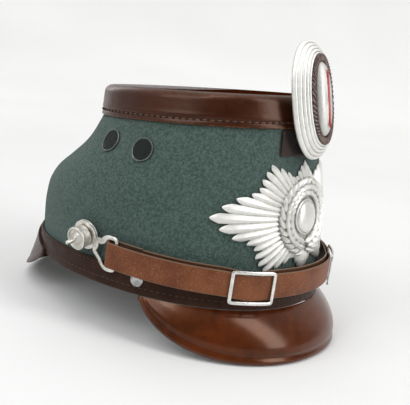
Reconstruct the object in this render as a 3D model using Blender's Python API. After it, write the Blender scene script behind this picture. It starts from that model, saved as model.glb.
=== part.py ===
"""Shako hat: a felt shell with a leather crown, two peaks, a chin strap, a cockade and a front badge.

Metres, +Z up. The front looks towards -Y and the wearer's left is +X. The hat rests tipped back as it does
on a table, on the front peak's edge and the rear peak's edge, which both lie at z = 0.
"""

import bmesh
import bpy
import numpy as np

# Overall form
OVAL_POWER = 2.15  # 2 is an ellipse, more is squarer
FOOT_LENGTH = 0.2195
FOOT_WIDTH = 0.182
FOOT_FRONT_Z = 0.0338
FOOT_REAR_Z = 0.0290
CROWN_LENGTH = 0.1601
CROWN_WIDTH = 0.142
CROWN_FRONT_Z = 0.1548
CROWN_REAR_Z = 0.1365
CROWN_SETBACK = 0.0181  # front of the crown line behind the front of the foot
REAR_SWELL = 0.0210
FELT_WALL = 0.0020
GAP = 0.0003  # clearance between pieces that touch
# Columns: share of the wall's height, share of REAR_SWELL, share of the way from crown width to foot width
WALL_ROWS = np.array([
    (0.0, 0.00, 1.00),
    (0.2, 0.47, 1.02),
    (0.4, 0.89, 0.98),
    (0.5, 1.00, 0.92),
    (0.6, 0.87, 0.83),
    (0.7, 0.48, 0.66),
    (0.8, 0.12, 0.45),
    (1.0, 0.00, 0.00),
])

# Leather cap on the crown
CAP_WALL = 0.0015
CAP_SETBACK = 0.0068
CAP_LENGTH = 0.1544
CAP_WIDTH = 0.1364
CAP_FRONT_RISE = 0.0220
CAP_REAR_RISE = 0.0215
CAP_EDGE_ROUND = 0.0050
CAP_TOP_SINK = 0.0012
FELT_UNDER_CAP = 0.55  # share of the cap's rise that the felt goes up inside it

# Leather band round the foot
BAND_WALL = 0.0018
BAND_HEIGHT = 0.0165

# Peaks. Drop share = (1 - a^power)^fade, a running from 0 in the middle to 1 at an end
PEAK_WALL = 0.0022
PEAK_SPREAD = 72.0  # degrees each way from the front
PEAK_REACH = 0.0175
PEAK_BOW = 1.8  # how far the section bows out past a straight slope
PEAK_BEAD = 0.0008
PEAK_HORN = 0.0030  # height left at the peak's ends
PEAK_SHAPE = (4.0, 0.7)
REAR_PEAK_WALL = 0.0018
REAR_PEAK_SPREAD = 57.0
REAR_PEAK_COVER = (0.92, 0.25)  # shares of the band's height covered in the middle and at the ends
REAR_PEAK_REACH = 0.0118
REAR_PEAK_BOW = -0.35
REAR_PEAK_SHAPE = (2.0, 0.75)

# Chin strap
STRAP_WIDTH = 0.0175
STRAP_WALL = 0.0016
STRAP_OUT = 0.0080  # outer face outside the foot's oval
STRAP_FRONT_Z = 0.0441  # lower edge at the front
STRAP_CLIMB = 0.020  # rise of the lower edge for each metre towards the rear
STRAP_DIP = 0.0022  # lower at the buckles
STRAP_RETURN = 0.020  # length folded back inside at each end
STRAP_LOOP = 0.0045  # slack of the end loops past the hooks' bars
STRAP_LAYER_RAISE = 0.0020  # how much higher the layers behind the outer one sit
UNDER_STRAP_WALL = 0.0014

# Posts, hooks, buckles and rivets
POST_ANGLE = 92.3
POST_Z = 0.0638
POST_TILT = 13.0
POST_SHANK_RADIUS = 0.0025
POST_FLANGE_RADIUS = 0.0104
POST_FLANGE_THICK = 0.0013
POST_NECK_RADIUS = 0.0045
POST_DRUM_RADIUS = 0.0082
POST_DRUM_LENGTH = 0.0082
POST_FACE_DEPTH = 0.0012
POST_RIM = 0.0012
POST_SCREW_RADIUS = 0.0048
POST_PIN_RADIUS = 0.0013
POST_PIN_LENGTH = 0.0094
HOOK_PLATE = 0.0012
HOOK_RING_RADIUS = 0.0104
HOOK_RING_HOLE = 0.0068
HOOK_WIRE = 0.0014  # half the width of the hook's rounded bars
HOOK_WIRE_DEPTH = 0.0008  # half their depth
HOOK_REACH = 0.0254  # post's centre to the bar in the strap's loop
BUCKLE_WIDTH = 0.0325
BUCKLE_BAR = 0.0024
BUCKLE_THICK = 0.0015
BUCKLE_PLACE = 0.0552  # along the strap from the front's middle
BUCKLE_BACK_BAR = 0.0010
RIVET_RADIUS = 0.0048
RIVET_DOME = 0.0014
RIVET_ANGLE = 72.3
RIVET_Z = 0.0424

# Vents in the felt
VENT_RADIUS = 0.0086
VENT_RIM = 0.0019
VENT_RIM_THICK = 0.0009
VENT_MESH_THICK = 0.0005
VENT_PLACES = {"front": (85.8, 0.833), "rear": (105.6, 0.857)}  # degrees from the front, share of height

# Cockade and the sleeve that holds its tongue
COCKADE_WIDTH = 0.0490
COCKADE_HEIGHT = 0.0812
COCKADE_Z = 0.1742
COCKADE_LEAN = 14.5
COCKADE_BACK = 0.0183  # its back, at its centre, behind the front of the foot
COCKADE_DEPTH = 0.0095
COCKADE_EDGE = 0.0016
COCKADE_RIDGES = 5
COCKADE_GROOVE = 0.0007
RING_WIDTH = 0.0280
RING_HEIGHT = 0.0610
RING_BAND = 0.0050
RING_THICK = 0.0022
CORE_THICK = 0.0052
INLAY_WIDTH = 0.0026
INLAY_HEIGHT = 0.0390
INLAY_THICK = 0.0006
SLEEVE_WIDTH = 0.0500
SLEEVE_HEIGHT = 0.0180
SLEEVE_WALL = 0.0014
TONGUE_WIDTH = 0.0100
TONGUE_TOP_Z = COCKADE_Z - COCKADE_HEIGHT * 0.200
TONGUE_FOOT_Z = COCKADE_Z - COCKADE_HEIGHT * 0.452

# Front badge
BADGE_Z = 0.0945
BADGE_OFF_FELT = 0.0008
STAR_HALF_WIDTH = 0.0760
STAR_HALF_HEIGHT = 0.0390
STAR_POINTS = 8
STAR_FLUTES = 3  # rays to each point
STAR_PLATE = 0.0020
STAR_RAY_LIFT = 0.0010
WREATH_RADIUS = 0.0205
WREATH_BAND = 0.0110
WREATH_THICK = 0.0026
WREATH_LEAVES = 16
BOSS_RADIUS = 0.0125
BOSS_DOME = 0.0046

# Fineness of the faceted surfaces
AROUND = 48


def clear_scene():
    for old in list(bpy.data.objects):
        bpy.data.objects.remove(old, do_unlink=True)


def finish(name, colour, roughness, metallic=0.0):
    """A plain Principled material of the piece's own."""
    material = bpy.data.materials.new(name)
    material.use_nodes = True
    shader = material.node_tree.nodes["Principled BSDF"]
    shader.inputs["Base Color"].default_value = (*colour, 1.0)
    shader.inputs["Roughness"].default_value = roughness
    shader.inputs["Metallic"].default_value = metallic
    return material


def add_mesh(name, points, faces, material):
    mesh = bpy.data.meshes.new(name)
    mesh.from_pydata(np.asarray(points).tolist(), [], faces)
    shaped = bmesh.new()
    shaped.from_mesh(mesh)
    bmesh.ops.recalc_face_normals(shaped, faces=shaped.faces)
    shaped.to_mesh(mesh)
    shaped.free()
    mesh.materials.append(material)
    mesh.shade_smooth()
    mesh.set_sharp_from_angle(angle=np.radians(40))
    piece = bpy.data.objects.new(name, mesh)
    bpy.context.collection.objects.link(piece)
    return piece


def solid(name, rings, material, start=None, end=None):
    """A closed body of rings of points. With no start and end points the last ring joins the first."""
    rings = np.asarray(rings, float)
    count, sides = rings.shape[:2]
    points = rings.reshape(-1, 3)
    steps = count if start is None else count - 1
    pairs = [(a, (a + 1) % sides) for a in range(sides)]
    faces = []
    for row in range(steps):
        low, high = row * sides, (row + 1) % count * sides
        faces += [(low + a, low + b, high + b, high + a) for a, b in pairs]
    if start is not None:
        points = np.vstack([points, start, end])
        last = (count - 1) * sides
        faces += [(b, a, count * sides) for a, b in pairs]
        faces += [(last + a, last + b, count * sides + 1) for a, b in pairs]
    return add_mesh(name, points, faces, material)


def join(piece, other):
    """Adds another closed body to this one and hides the one that was added."""
    union = piece.modifiers.new("Join " + other.name, "BOOLEAN")
    union.operation = "UNION"
    union.object = other
    other.hide_render = True
    other.display_type = "WIRE"


def smooth_step(x):
    x = np.clip(x, 0.0, 1.0)
    return x * x * (3 - 2 * x)


def read_rows(rows, share, column):
    """A column of a table at any share, by a cubic whose slopes are those of the neighbouring rows."""
    at, value = rows[:, 0], rows[:, column]
    slope = np.gradient(value, at)
    share = np.clip(share, at[0], at[-1])
    left = np.clip(np.searchsorted(at, share, "right") - 1, 0, len(at) - 2)
    width = at[left + 1] - at[left]
    x = (share - at[left]) / width
    start = value[left] * (1 + 2 * x) * (1 - x) ** 2 + slope[left] * width * x * (1 - x) ** 2
    end = value[left + 1] * (3 - 2 * x) * x**2 - slope[left + 1] * width * (1 - x) * x**2
    return start + end


def mix(a, b, share):
    return a + (b - a) * share


BAND_SHARE = BAND_HEIGHT / ((CROWN_FRONT_Z + CROWN_REAR_Z - FOOT_FRONT_Z - FOOT_REAR_Z) / 2)
PEAK_ROOT = BAND_WALL
REAR_PEAK_ROOT = BAND_WALL + 2 * GAP + REAR_PEAK_WALL
# The origin stands under the middle of the overall box, from the front peak's fullest to the rear peak's edge
PEAK_FULLEST = PEAK_ROOT + PEAK_REACH * (1 + PEAK_BOW) ** 2 / (4 * PEAK_BOW)
ROOT_SHARE = BAND_SHARE * REAR_PEAK_COVER[0]
ROOT_BACK = (CROWN_SETBACK + CROWN_LENGTH - FOOT_LENGTH) * ROOT_SHARE
ROOT_BACK += REAR_SWELL * read_rows(WALL_ROWS, ROOT_SHARE, 1)
FOOT_FRONT_Y = (PEAK_FULLEST - FOOT_LENGTH - ROOT_BACK - REAR_PEAK_ROOT - REAR_PEAK_REACH) / 2
FOOT_REAR_Y = FOOT_FRONT_Y + FOOT_LENGTH
CROWN_FRONT_Y = FOOT_FRONT_Y + CROWN_SETBACK
CROWN_REAR_Y = CROWN_FRONT_Y + CROWN_LENGTH
CAP_FRONT_Y = CROWN_FRONT_Y + CAP_SETBACK
CAP_REAR_Y = CAP_FRONT_Y + CAP_LENGTH
ROUND = np.radians(np.arange(AROUND) * 360.0 / AROUND)


def oval(angle, front_y, rear_y, half_width, grow=0.0):
    """x and y of a squared ellipse: the angle runs from the front (-Y) towards +X."""
    across, along = np.sin(angle), np.cos(angle)
    power = 2 / OVAL_POWER
    half_length = (rear_y - front_y) / 2 + grow
    x = (half_width + grow) * np.sign(across) * np.abs(across) ** power
    y = (front_y + rear_y) / 2 - half_length * np.sign(along) * np.abs(along) ** power
    return x, y


def plane_z(y, front_y, rear_y, front_z, rear_z):
    return mix(front_z, rear_z, (y - front_y) / (rear_y - front_y))


def foot_z(y):
    return plane_z(y, FOOT_FRONT_Y, FOOT_REAR_Y, FOOT_FRONT_Z, FOOT_REAR_Z)


def crown_z(y):
    return plane_z(y, CROWN_FRONT_Y, CROWN_REAR_Y, CROWN_FRONT_Z, CROWN_REAR_Z)


def wall(angle, share, grow=0.0):
    """A point of the felt's outer face at a share of the height, foot to crown, moved outwards by grow."""
    angle, share = np.broadcast_arrays(np.asarray(angle, float), np.asarray(share, float))
    front = mix(FOOT_FRONT_Y, CROWN_FRONT_Y, share)
    rear = mix(FOOT_REAR_Y, CROWN_REAR_Y, share) + REAR_SWELL * read_rows(WALL_ROWS, share, 1)
    half = mix(CROWN_WIDTH, FOOT_WIDTH, read_rows(WALL_ROWS, share, 2)) / 2
    x, y = oval(angle, front, rear, half, grow)
    return np.stack([x, y, mix(foot_z(y), crown_z(y), share)], -1)


def cap_wall(angle, rise, grow=0.0):
    """A point of the surface that the cap hugs, from the crown line (rise 0) to the cap's top (rise 1)."""
    front = mix(CROWN_FRONT_Y, CAP_FRONT_Y, rise)
    rear = mix(CROWN_REAR_Y, CAP_REAR_Y, rise)
    half = mix(CROWN_WIDTH, CAP_WIDTH, rise) / 2
    x, y = oval(angle, front, rear, half, grow)
    height = mix(CAP_FRONT_RISE, CAP_REAR_RISE, (y - front) / (rear - front))
    return np.stack([x, y, crown_z(y) + rise * height], -1)


def wall_share(z, y):
    """The share of the wall's height at a height z over the surface."""
    return (z - foot_z(y)) / (crown_z(y) - foot_z(y))


def belt(along, z, out):
    """A point at a distance along the foot's oval from the front's middle, and at a distance out of it."""
    fine = np.radians(np.linspace(-180, 180, 1441))
    x, y = oval(fine, FOOT_FRONT_Y, FOOT_REAR_Y, FOOT_WIDTH / 2, STRAP_OUT)
    length = np.concatenate([[0], np.cumsum(np.hypot(np.diff(x), np.diff(y)))])
    length -= length[len(fine) // 2]
    angle = np.interp(along, length, fine)
    x, y = oval(angle, FOOT_FRONT_Y, FOOT_REAR_Y, FOOT_WIDTH / 2, out)
    return np.stack(np.broadcast_arrays(x, y, z), -1)


def belt_length(angle):
    """The distance along the belt from the front's middle to an angle in degrees."""
    fine = np.radians(np.linspace(0, angle, 721))
    x, y = oval(fine, FOOT_FRONT_Y, FOOT_REAR_Y, FOOT_WIDTH / 2, STRAP_OUT)
    return np.hypot(np.diff(x), np.diff(y)).sum()


def strap_z(along):
    """Height of the strap's lower edge at a distance along the belt: it dips through each buckle."""
    dip = STRAP_DIP * np.exp(-((np.abs(along) - BUCKLE_PLACE) / 0.014) ** 2)
    return STRAP_FRONT_Z + STRAP_CLIMB * (belt(along, 0.0, 0.0)[..., 1] - FOOT_FRONT_Y) - dip


def on_wall(across, up, lift, angle, share):
    """Points laid on the felt round a place: level across it, square up it and off it by lift."""
    place = np.radians(angle)
    fine = np.radians(np.linspace(-180, 180, 1441))
    path = wall(fine, share)
    length = np.concatenate([[0], np.cumsum(np.linalg.norm(np.diff(path, axis=0), axis=1))])
    level = wall(place + 0.01, share) - wall(place - 0.01, share)
    level /= np.linalg.norm(level)
    rise = (wall(place, share + 0.02) - wall(place, share - 0.02)) / 0.04
    lean = rise @ level
    height = np.sqrt(rise @ rise - lean**2)
    along = np.interp(place, fine, length) + across - up * lean / height
    return wall(np.interp(along, length, fine), share + up / height, lift)


def make_shell():
    felt = finish("felt", (0.13, 0.19, 0.17), 0.95)
    leather = finish("cap_leather", (0.16, 0.055, 0.03), 0.25)
    shares = np.array([0.0, 0.16, 0.34, 0.5, 0.64, 0.8, 1.0])
    rises = np.array([0.5, 1.0]) * FELT_UNDER_CAP
    outer = [wall(ROUND, share) for share in shares]
    outer += [cap_wall(ROUND, rise) for rise in rises]
    inner = [wall(ROUND, share, -FELT_WALL) for share in shares]
    inner += [cap_wall(ROUND, rise, -FELT_WALL) for rise in rises]
    solid("felt_body", outer + inner[::-1], felt)

    rise_height = (CAP_FRONT_RISE + CAP_REAR_RISE) / 2
    turns = np.radians([0, 45, 90])

    def cap_face(grow, below, edge):
        """Rings from the skirt's foot up over the rounded edge, then in to the middle of the top."""
        top = 1 - below / rise_height
        bend = top - edge / rise_height * (1 - np.sin(turns))
        side = [cap_wall(ROUND, 0.0, grow)]
        side += [cap_wall(ROUND, rise, grow - edge * (1 - np.cos(turn))) for rise, turn in zip(bend, turns)]
        middle = side[-1].mean(axis=0)
        for reach in (0.66, 0.33):
            ring = middle + (side[-1 if reach > 0.5 else -2] - middle) * (reach if reach > 0.5 else 0.5)
            ring[:, 2] -= CAP_TOP_SINK * (1 - reach**2)
            side.append(ring)
        return side, middle - (0, 0, CAP_TOP_SINK)

    outside, outside_middle = cap_face(GAP + CAP_WALL, 0.0, CAP_EDGE_ROUND)
    inside, inside_middle = cap_face(GAP, CAP_WALL, CAP_EDGE_ROUND - CAP_WALL)
    solid("crown_cap", outside[::-1] + inside, leather, outside_middle, inside_middle)

    band_leather = finish("band_leather", (0.045, 0.022, 0.018), 0.38)
    levels = np.array([0.0, BAND_SHARE / 2, BAND_SHARE])
    outside = [wall(ROUND, share, GAP + BAND_WALL) for share in levels]
    inside = [wall(ROUND, share, GAP) for share in levels]
    solid("base_band", outside + inside[::-1], band_leather)


def peak_steps():
    """Places along a peak from one end (-1) to the other (1), closer together at the ends."""
    steps = np.linspace(-1, 1, 25)
    return np.sign(steps) * np.abs(steps) ** 0.85


def peak(name, root, tip_z, form, thick, bead, material):
    """A moulded peak from its root line down to its edge: form holds its reach and its bow.

    The reach fades as (1 - a^2)^0.9 from the middle (a = 0) to the ends (a = 1).
    """
    reach, bow = form
    normal_x, normal_y = np.gradient(root[:, 1]), -np.gradient(root[:, 0])
    size = np.hypot(normal_x, normal_y)
    normal_x, normal_y = normal_x / size, normal_y / size
    drop = root[:, 2] - tip_z
    out = reach * (1 - peak_steps() ** 2) ** 0.9
    depth = np.array([0, 0.25, 0.50, 0.72, 0.92, 1.0])
    swell = bead * np.array([0, 0, 0, 0.1, 1.0, 0.9])
    curve = depth + bow * depth * (1 - depth)
    slope = 1 + bow * (1 - 2 * depth)
    sections = []
    for index in range(len(root)):
        steep = np.stack([out[index] * slope, np.full(len(depth), -drop[index])])
        inward = np.stack([steep[1], -steep[0]]) / np.linalg.norm(steep, axis=0)
        face = np.stack([out[index] * curve, -drop[index] * depth])
        back = face + thick * inward
        back[1] = np.clip(back[1], -drop[index], 0.0)
        face[0] += swell
        loop = np.concatenate([face, back[:, ::-1]], axis=1)
        x = root[index, 0] + normal_x[index] * loop[0]
        y = root[index, 1] + normal_y[index] * loop[0]
        sections.append(np.stack([x, y, root[index, 2] + loop[1]], -1))
    sections = np.array(sections)
    solid(name, sections, material, sections[0].mean(axis=0), sections[-1].mean(axis=0))


def edge_height(foot, shape):
    """Height of a peak's edge: on the surface in the middle and up at the foot's line at the ends."""
    power, fade = shape
    return foot * (1 - np.maximum(1 - np.abs(peak_steps()) ** power, 0) ** fade)


def make_peaks():
    front_leather = finish("peak_leather", (0.30, 0.085, 0.022), 0.16)
    rear_leather = finish("rear_peak_leather", (0.06, 0.028, 0.022), 0.30)
    angle = np.radians(peak_steps() * PEAK_SPREAD)
    x, y = oval(angle, FOOT_FRONT_Y, FOOT_REAR_Y, FOOT_WIDTH / 2, PEAK_ROOT)
    root = np.stack([x, y, foot_z(y) - GAP], -1)
    tip_z = np.minimum(edge_height(foot_z(y), PEAK_SHAPE), root[:, 2] - PEAK_HORN)
    peak("front_peak", root, tip_z, (PEAK_REACH, PEAK_BOW), PEAK_WALL, PEAK_BEAD, front_leather)

    angle = np.radians(180 + peak_steps() * REAR_PEAK_SPREAD)
    share = BAND_SHARE * mix(*REAR_PEAK_COVER, peak_steps() ** 2)
    root = wall(angle, share, REAR_PEAK_ROOT)
    tip_z = edge_height(foot_z(root[:, 1]), REAR_PEAK_SHAPE)
    peak("rear_peak", root, tip_z, (REAR_PEAK_REACH, REAR_PEAK_BOW), REAR_PEAK_WALL, 0.0, rear_leather)


def strap_sections(path, wall_thick, low, width):
    """Rectangular sections along a path of (along the belt, out) points, the inner ones set higher."""
    path = np.asarray(path, float)
    run = np.gradient(path, axis=0)
    run /= np.linalg.norm(run, axis=1, keepdims=True)
    side = np.stack([-run[:, 1], run[:, 0]], -1) * wall_thick / 2
    inner = np.clip((STRAP_MIDDLE - path[:, 1]) / (2 * FOLD_RADIUS), 0, 1)
    level = low(path[:, 0]) + STRAP_LAYER_RAISE * inner
    corners = []
    for sign, up in ((1, 0), (1, width), (-1, width), (-1, 0)):
        at = path + sign * side
        corners.append(belt(at[:, 0], level + up, at[:, 1]))
    return np.stack(corners, 1)


POST_ALONG = belt_length(POST_ANGLE)
BAR_ALONG = POST_ALONG - HOOK_REACH
FOLD_RADIUS = HOOK_WIRE_DEPTH + GAP + STRAP_WALL / 2
FOLD_ALONG = BAR_ALONG + HOOK_WIRE - HOOK_WIRE_DEPTH + STRAP_LOOP
STRAP_MIDDLE = STRAP_OUT - STRAP_WALL / 2
BAR_OUT = STRAP_MIDDLE - FOLD_RADIUS


def make_strap():
    leather = finish("strap_leather", (0.20, 0.085, 0.04), 0.55)
    turn = np.radians(np.arange(90, -91, -30))
    fold = np.stack([FOLD_ALONG + FOLD_RADIUS * np.cos(turn), BAR_OUT + FOLD_RADIUS * np.sin(turn)], -1)
    back = np.linspace(BAR_ALONG, BAR_ALONG - STRAP_RETURN, 6)[1:]
    back = np.stack([back, np.full(5, BAR_OUT - FOLD_RADIUS)], -1)
    front = np.linspace(0, BAR_ALONG, 21)[:-1]
    front = np.stack([front, np.full(20, STRAP_MIDDLE)], -1)
    half = np.concatenate([front, fold, back])
    path = np.concatenate([half[:0:-1] * (-1, 1), half])
    rings = strap_sections(path, STRAP_WALL, strap_z, STRAP_WIDTH)
    solid("chin_strap_outer", rings, leather, rings[0].mean(axis=0), rings[-1].mean(axis=0))

    end = BAR_ALONG - STRAP_RETURN - 3 * GAP
    out = STRAP_OUT - STRAP_WALL - 2 * GAP - BUCKLE_BACK_BAR - UNDER_STRAP_WALL / 2
    path = np.stack([np.linspace(-end, end, 31), np.full(31, out)], -1)

    rings = strap_sections(path, UNDER_STRAP_WALL, strap_z, STRAP_WIDTH)
    solid("chin_strap_inner", rings, leather, rings[0].mean(axis=0), rings[-1].mean(axis=0))


def turned(name, profile, place, axis, material, sides=12):
    """A turned body from (radius, height) pairs that start and end on the axis."""
    axis = np.asarray(axis, float) / np.linalg.norm(axis)
    level = np.cross((0, 0, 1), axis)
    level /= np.linalg.norm(level)
    up = np.cross(axis, level)
    spin = np.radians(np.arange(sides) * 360 / sides)
    circle = np.outer(np.cos(spin), level) + np.outer(np.sin(spin), up)
    rings = [place + radius * circle + height * axis for radius, height in profile[1:-1]]
    return solid(name, rings, material, place + profile[0][1] * axis, place + profile[-1][1] * axis)


def outward(side, angle, tilt):
    """The level outward direction of the foot's oval at an angle, turned down by tilt degrees."""
    at = np.radians(np.array([-0.5, 0.5]) + angle)
    x, y = oval(at, FOOT_FRONT_Y, FOOT_REAR_Y, FOOT_WIDTH / 2)
    flat = np.array([y[1] - y[0], -(x[1] - x[0]), 0.0])
    flat *= np.sign(flat[0]) / np.linalg.norm(flat)
    down = np.radians(tilt)
    return np.array([side * flat[0] * np.cos(down), flat[1] * np.cos(down), -np.sin(down)])


POST_SHARE = wall_share(POST_Z, belt(POST_ALONG, 0.0, 0.0)[1])
FLANGE_LIFT = GAP + POST_FLANGE_RADIUS * np.sin(np.radians(POST_TILT)) + 2 * GAP
PLATE_LIFT = FLANGE_LIFT + POST_FLANGE_THICK + GAP


def post_place(side):
    return wall(np.radians(POST_ANGLE), POST_SHARE) * (side, 1, 1)


def make_post(side, name):
    metal = finish(name, (0.62, 0.61, 0.58), 0.38, 1.0)
    flange_top = FLANGE_LIFT + POST_FLANGE_THICK
    drum = PLATE_LIFT + HOOK_PLATE + GAP
    face = drum + POST_DRUM_LENGTH
    floor = face - POST_FACE_DEPTH
    shank = GAP + POST_SHANK_RADIUS * np.sin(np.radians(POST_TILT)) + GAP
    profile = [
        (0, shank), (POST_SHANK_RADIUS, shank), (POST_SHANK_RADIUS, FLANGE_LIFT),
        (POST_FLANGE_RADIUS, FLANGE_LIFT), (POST_FLANGE_RADIUS, flange_top),
        (POST_NECK_RADIUS, flange_top), (POST_NECK_RADIUS, drum),
        (POST_DRUM_RADIUS * 0.94, drum), (POST_DRUM_RADIUS, mix(drum, face, 0.25)),
        (POST_DRUM_RADIUS, face), (POST_DRUM_RADIUS - POST_RIM, face), (POST_DRUM_RADIUS - POST_RIM, floor),
        (POST_SCREW_RADIUS, floor), (POST_SCREW_RADIUS * 0.8, floor + POST_SCREW_RADIUS * 0.35),
        (POST_PIN_RADIUS, floor + POST_SCREW_RADIUS * 0.6), (POST_PIN_RADIUS, floor + POST_PIN_LENGTH),
        (0, floor + POST_PIN_LENGTH),
    ]
    turned(name, profile, post_place(side), outward(side, POST_ANGLE, POST_TILT), metal)


def hook_point(side, ahead, up, out):
    """A place on the hook: square to the post near it, and following the strap near its bar."""
    axis = outward(side, POST_ANGLE, POST_TILT)
    level = np.cross((0, 0, side), axis)
    level /= np.linalg.norm(level)
    rise = np.cross(axis, level) * side
    ahead, up, out = np.broadcast_arrays(*(np.asarray(v, float) for v in (ahead, up, out)))
    flat = post_place(side) + np.multiply.outer(-ahead, level) + np.multiply.outer(up, rise)
    flat = flat + np.multiply.outer(PLATE_LIFT + HOOK_PLATE / 2, axis) + np.multiply.outer(out, axis)
    bent = belt(side * (POST_ALONG - ahead), POST_Z + up, BAR_OUT + out)
    share = smooth_step((ahead - HOOK_RING_RADIUS) / (HOOK_REACH - 0.006 - HOOK_RING_RADIUS))[..., None]
    return mix(flat, bent, share)


def tube_loop(points, radius, closed, sides=6):
    """Round sections along points given as ahead, up and out columns."""
    points = np.asarray(points, float)
    if closed:
        run = np.roll(points, -1, 0) - np.roll(points, 1, 0)
    else:
        run = np.gradient(points, axis=0)
    run /= np.linalg.norm(run, axis=1, keepdims=True)
    side = np.cross(run, (0, 0, 1.0))
    side /= np.linalg.norm(side, axis=1, keepdims=True)
    other = np.cross(run, side)
    spin = np.radians(np.arange(sides) * 360 / sides)
    circle = np.cos(spin)[:, None] * side[:, None] + np.sin(spin)[:, None] * other[:, None]
    return points[:, None] + radius * circle


def make_hook(side, name):
    metal = finish(name, (0.64, 0.63, 0.60), 0.35, 1.0)
    spin = np.radians(np.arange(16) * 360 / 16)
    hole = HOOK_RING_HOLE
    half = HOOK_PLATE / 2
    edge = half * 0.4
    section = [
        (hole, -half), (HOOK_RING_RADIUS - edge, -half), (HOOK_RING_RADIUS, -half + edge),
        (HOOK_RING_RADIUS, half - edge), (HOOK_RING_RADIUS - edge, half), (hole, half),
    ]
    rings = [hook_point(side, r * np.cos(spin), r * np.sin(spin), out) for r, out in section]
    ring = solid(name, rings, metal)

    reach = HOOK_REACH
    middle = strap_z(BAR_ALONG) + STRAP_WIDTH / 2 - POST_Z
    top = middle + STRAP_WIDTH / 2 + GAP + HOOK_WIRE * 2
    foot = middle - STRAP_WIDTH / 2 - GAP - HOOK_WIRE
    wire = HOOK_WIRE
    wide = HOOK_RING_RADIUS
    outline = [
        (wide * 1.04, wide * -0.06), (wide * 1.44, top - wire * 3.0), (reach - wire * 6.1, top),
        (reach - wire * 0.9, top), (reach, top - wire), (reach, top - wire * 2.6), (reach, middle),
        (reach, foot + wire * 1.6), (reach - wire * 0.6, foot), (reach - wire * 6.1, foot),
        (reach - wire * 8.0, foot + wire * 1.7), (wide * 1.21, wide * -1.33), (wide * 0.75, wide * -0.885),
        (wide, wide * -0.54),
    ]
    outline = np.array([(ahead, up, 0.0) for ahead, up in outline])
    frame_rings = tube_loop(outline, HOOK_WIRE, True)
    depth = HOOK_WIRE_DEPTH / HOOK_WIRE
    bent = hook_point(side, frame_rings[..., 0], frame_rings[..., 1], frame_rings[..., 2] * depth)
    join(ring, solid(name + "_frame", bent, metal))


def make_buckle(side, name):
    metal = finish(name, (0.74, 0.73, 0.70), 0.28, 1.0)
    window = STRAP_WIDTH / 2 + 2 * GAP
    half_height = window + BUCKLE_BAR / 2
    half_width = BUCKLE_WIDTH / 2 - BUCKLE_BAR / 2
    corner = 0.0012
    turn = np.radians([0, 45, 90])
    quarter_x = half_width - corner + corner * np.cos(turn)
    quarter_y = half_height - corner + corner * np.sin(turn)
    quarter = np.stack([quarter_x, quarter_y], -1)
    loop = []
    for sign_x, sign_y, order in ((1, 1, 1), (-1, 1, -1), (-1, -1, 1), (1, -1, -1)):
        loop += (quarter[::order] * (sign_x, sign_y)).tolist()
        steps = np.linspace(0, 1, 5)[1:-1, None]
        start = np.array(loop[-1])
        stop = start * ((-1, 1) if sign_x * sign_y > 0 else (1, -1))
        loop += (start + (stop - start) * steps).tolist()
    loop = np.array(loop)
    run = np.roll(loop, -1, 0) - np.roll(loop, 1, 0)
    run /= np.linalg.norm(run, axis=1, keepdims=True)
    sideways = np.stack([run[:, 1], -run[:, 0]], -1) * BUCKLE_BAR / 2
    base = STRAP_OUT + GAP
    rings = []
    for shift, out in ((1, base), (1, base + BUCKLE_THICK * 0.6), (0.6, base + BUCKLE_THICK),
                       (-0.6, base + BUCKLE_THICK), (-1, base + BUCKLE_THICK * 0.6), (-1, base)):
        at = loop + shift * sideways
        along = side * BUCKLE_PLACE + at[:, 0]
        rings.append(belt(along, strap_z(along) + STRAP_WIDTH / 2 + at[:, 1], out))
    frame = solid(name, rings, metal)

    back = STRAP_OUT - STRAP_WALL - GAP
    thin = BUCKLE_BACK_BAR
    front = base + BUCKLE_THICK * 0.5
    outer, inside = half_height + 0.0003, window
    path = [(front, inside), (back, inside), (back, -inside), (front, -inside),
            (front, -outer), (back - thin, -outer), (back - thin, outer), (front, outer)]
    sections = []
    for shift in (-0.0015, 0.0015):
        along = side * BUCKLE_PLACE + shift
        low = strap_z(np.array([along]))[0] + STRAP_WIDTH / 2
        sections.append([belt(along, low + up, out) for out, up in path])
    ends = np.array(sections)
    add_bar = add_mesh(name + "_bar", ends.reshape(-1, 3), bar_faces(len(path)), metal)
    join(frame, add_bar)


def bar_faces(count):
    """Two end outlines and the faces between them."""
    faces = [tuple(range(count)), tuple(range(2 * count - 1, count - 1, -1))]
    faces += [(a, (a + 1) % count, count + (a + 1) % count, count + a) for a in range(count)]
    return faces


def make_rivet(side, name):
    metal = finish(name, (0.72, 0.71, 0.68), 0.25, 1.0)
    at = np.radians(RIVET_ANGLE)
    share = wall_share(RIVET_Z, wall(at, 0.1)[1])
    seat = GAP + BAND_WALL + GAP
    rim = seat + 0.0002
    dome = [(RIVET_RADIUS * np.cos(a), rim + RIVET_DOME * np.sin(a)) for a in np.radians([0, 30, 60])]
    profile = [(0, seat), (RIVET_RADIUS, seat), *dome, (0, rim + RIVET_DOME)]
    turned(name, profile, wall(at, share) * (side, 1, 1), outward(side, RIVET_ANGLE, 0.0), metal)


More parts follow.
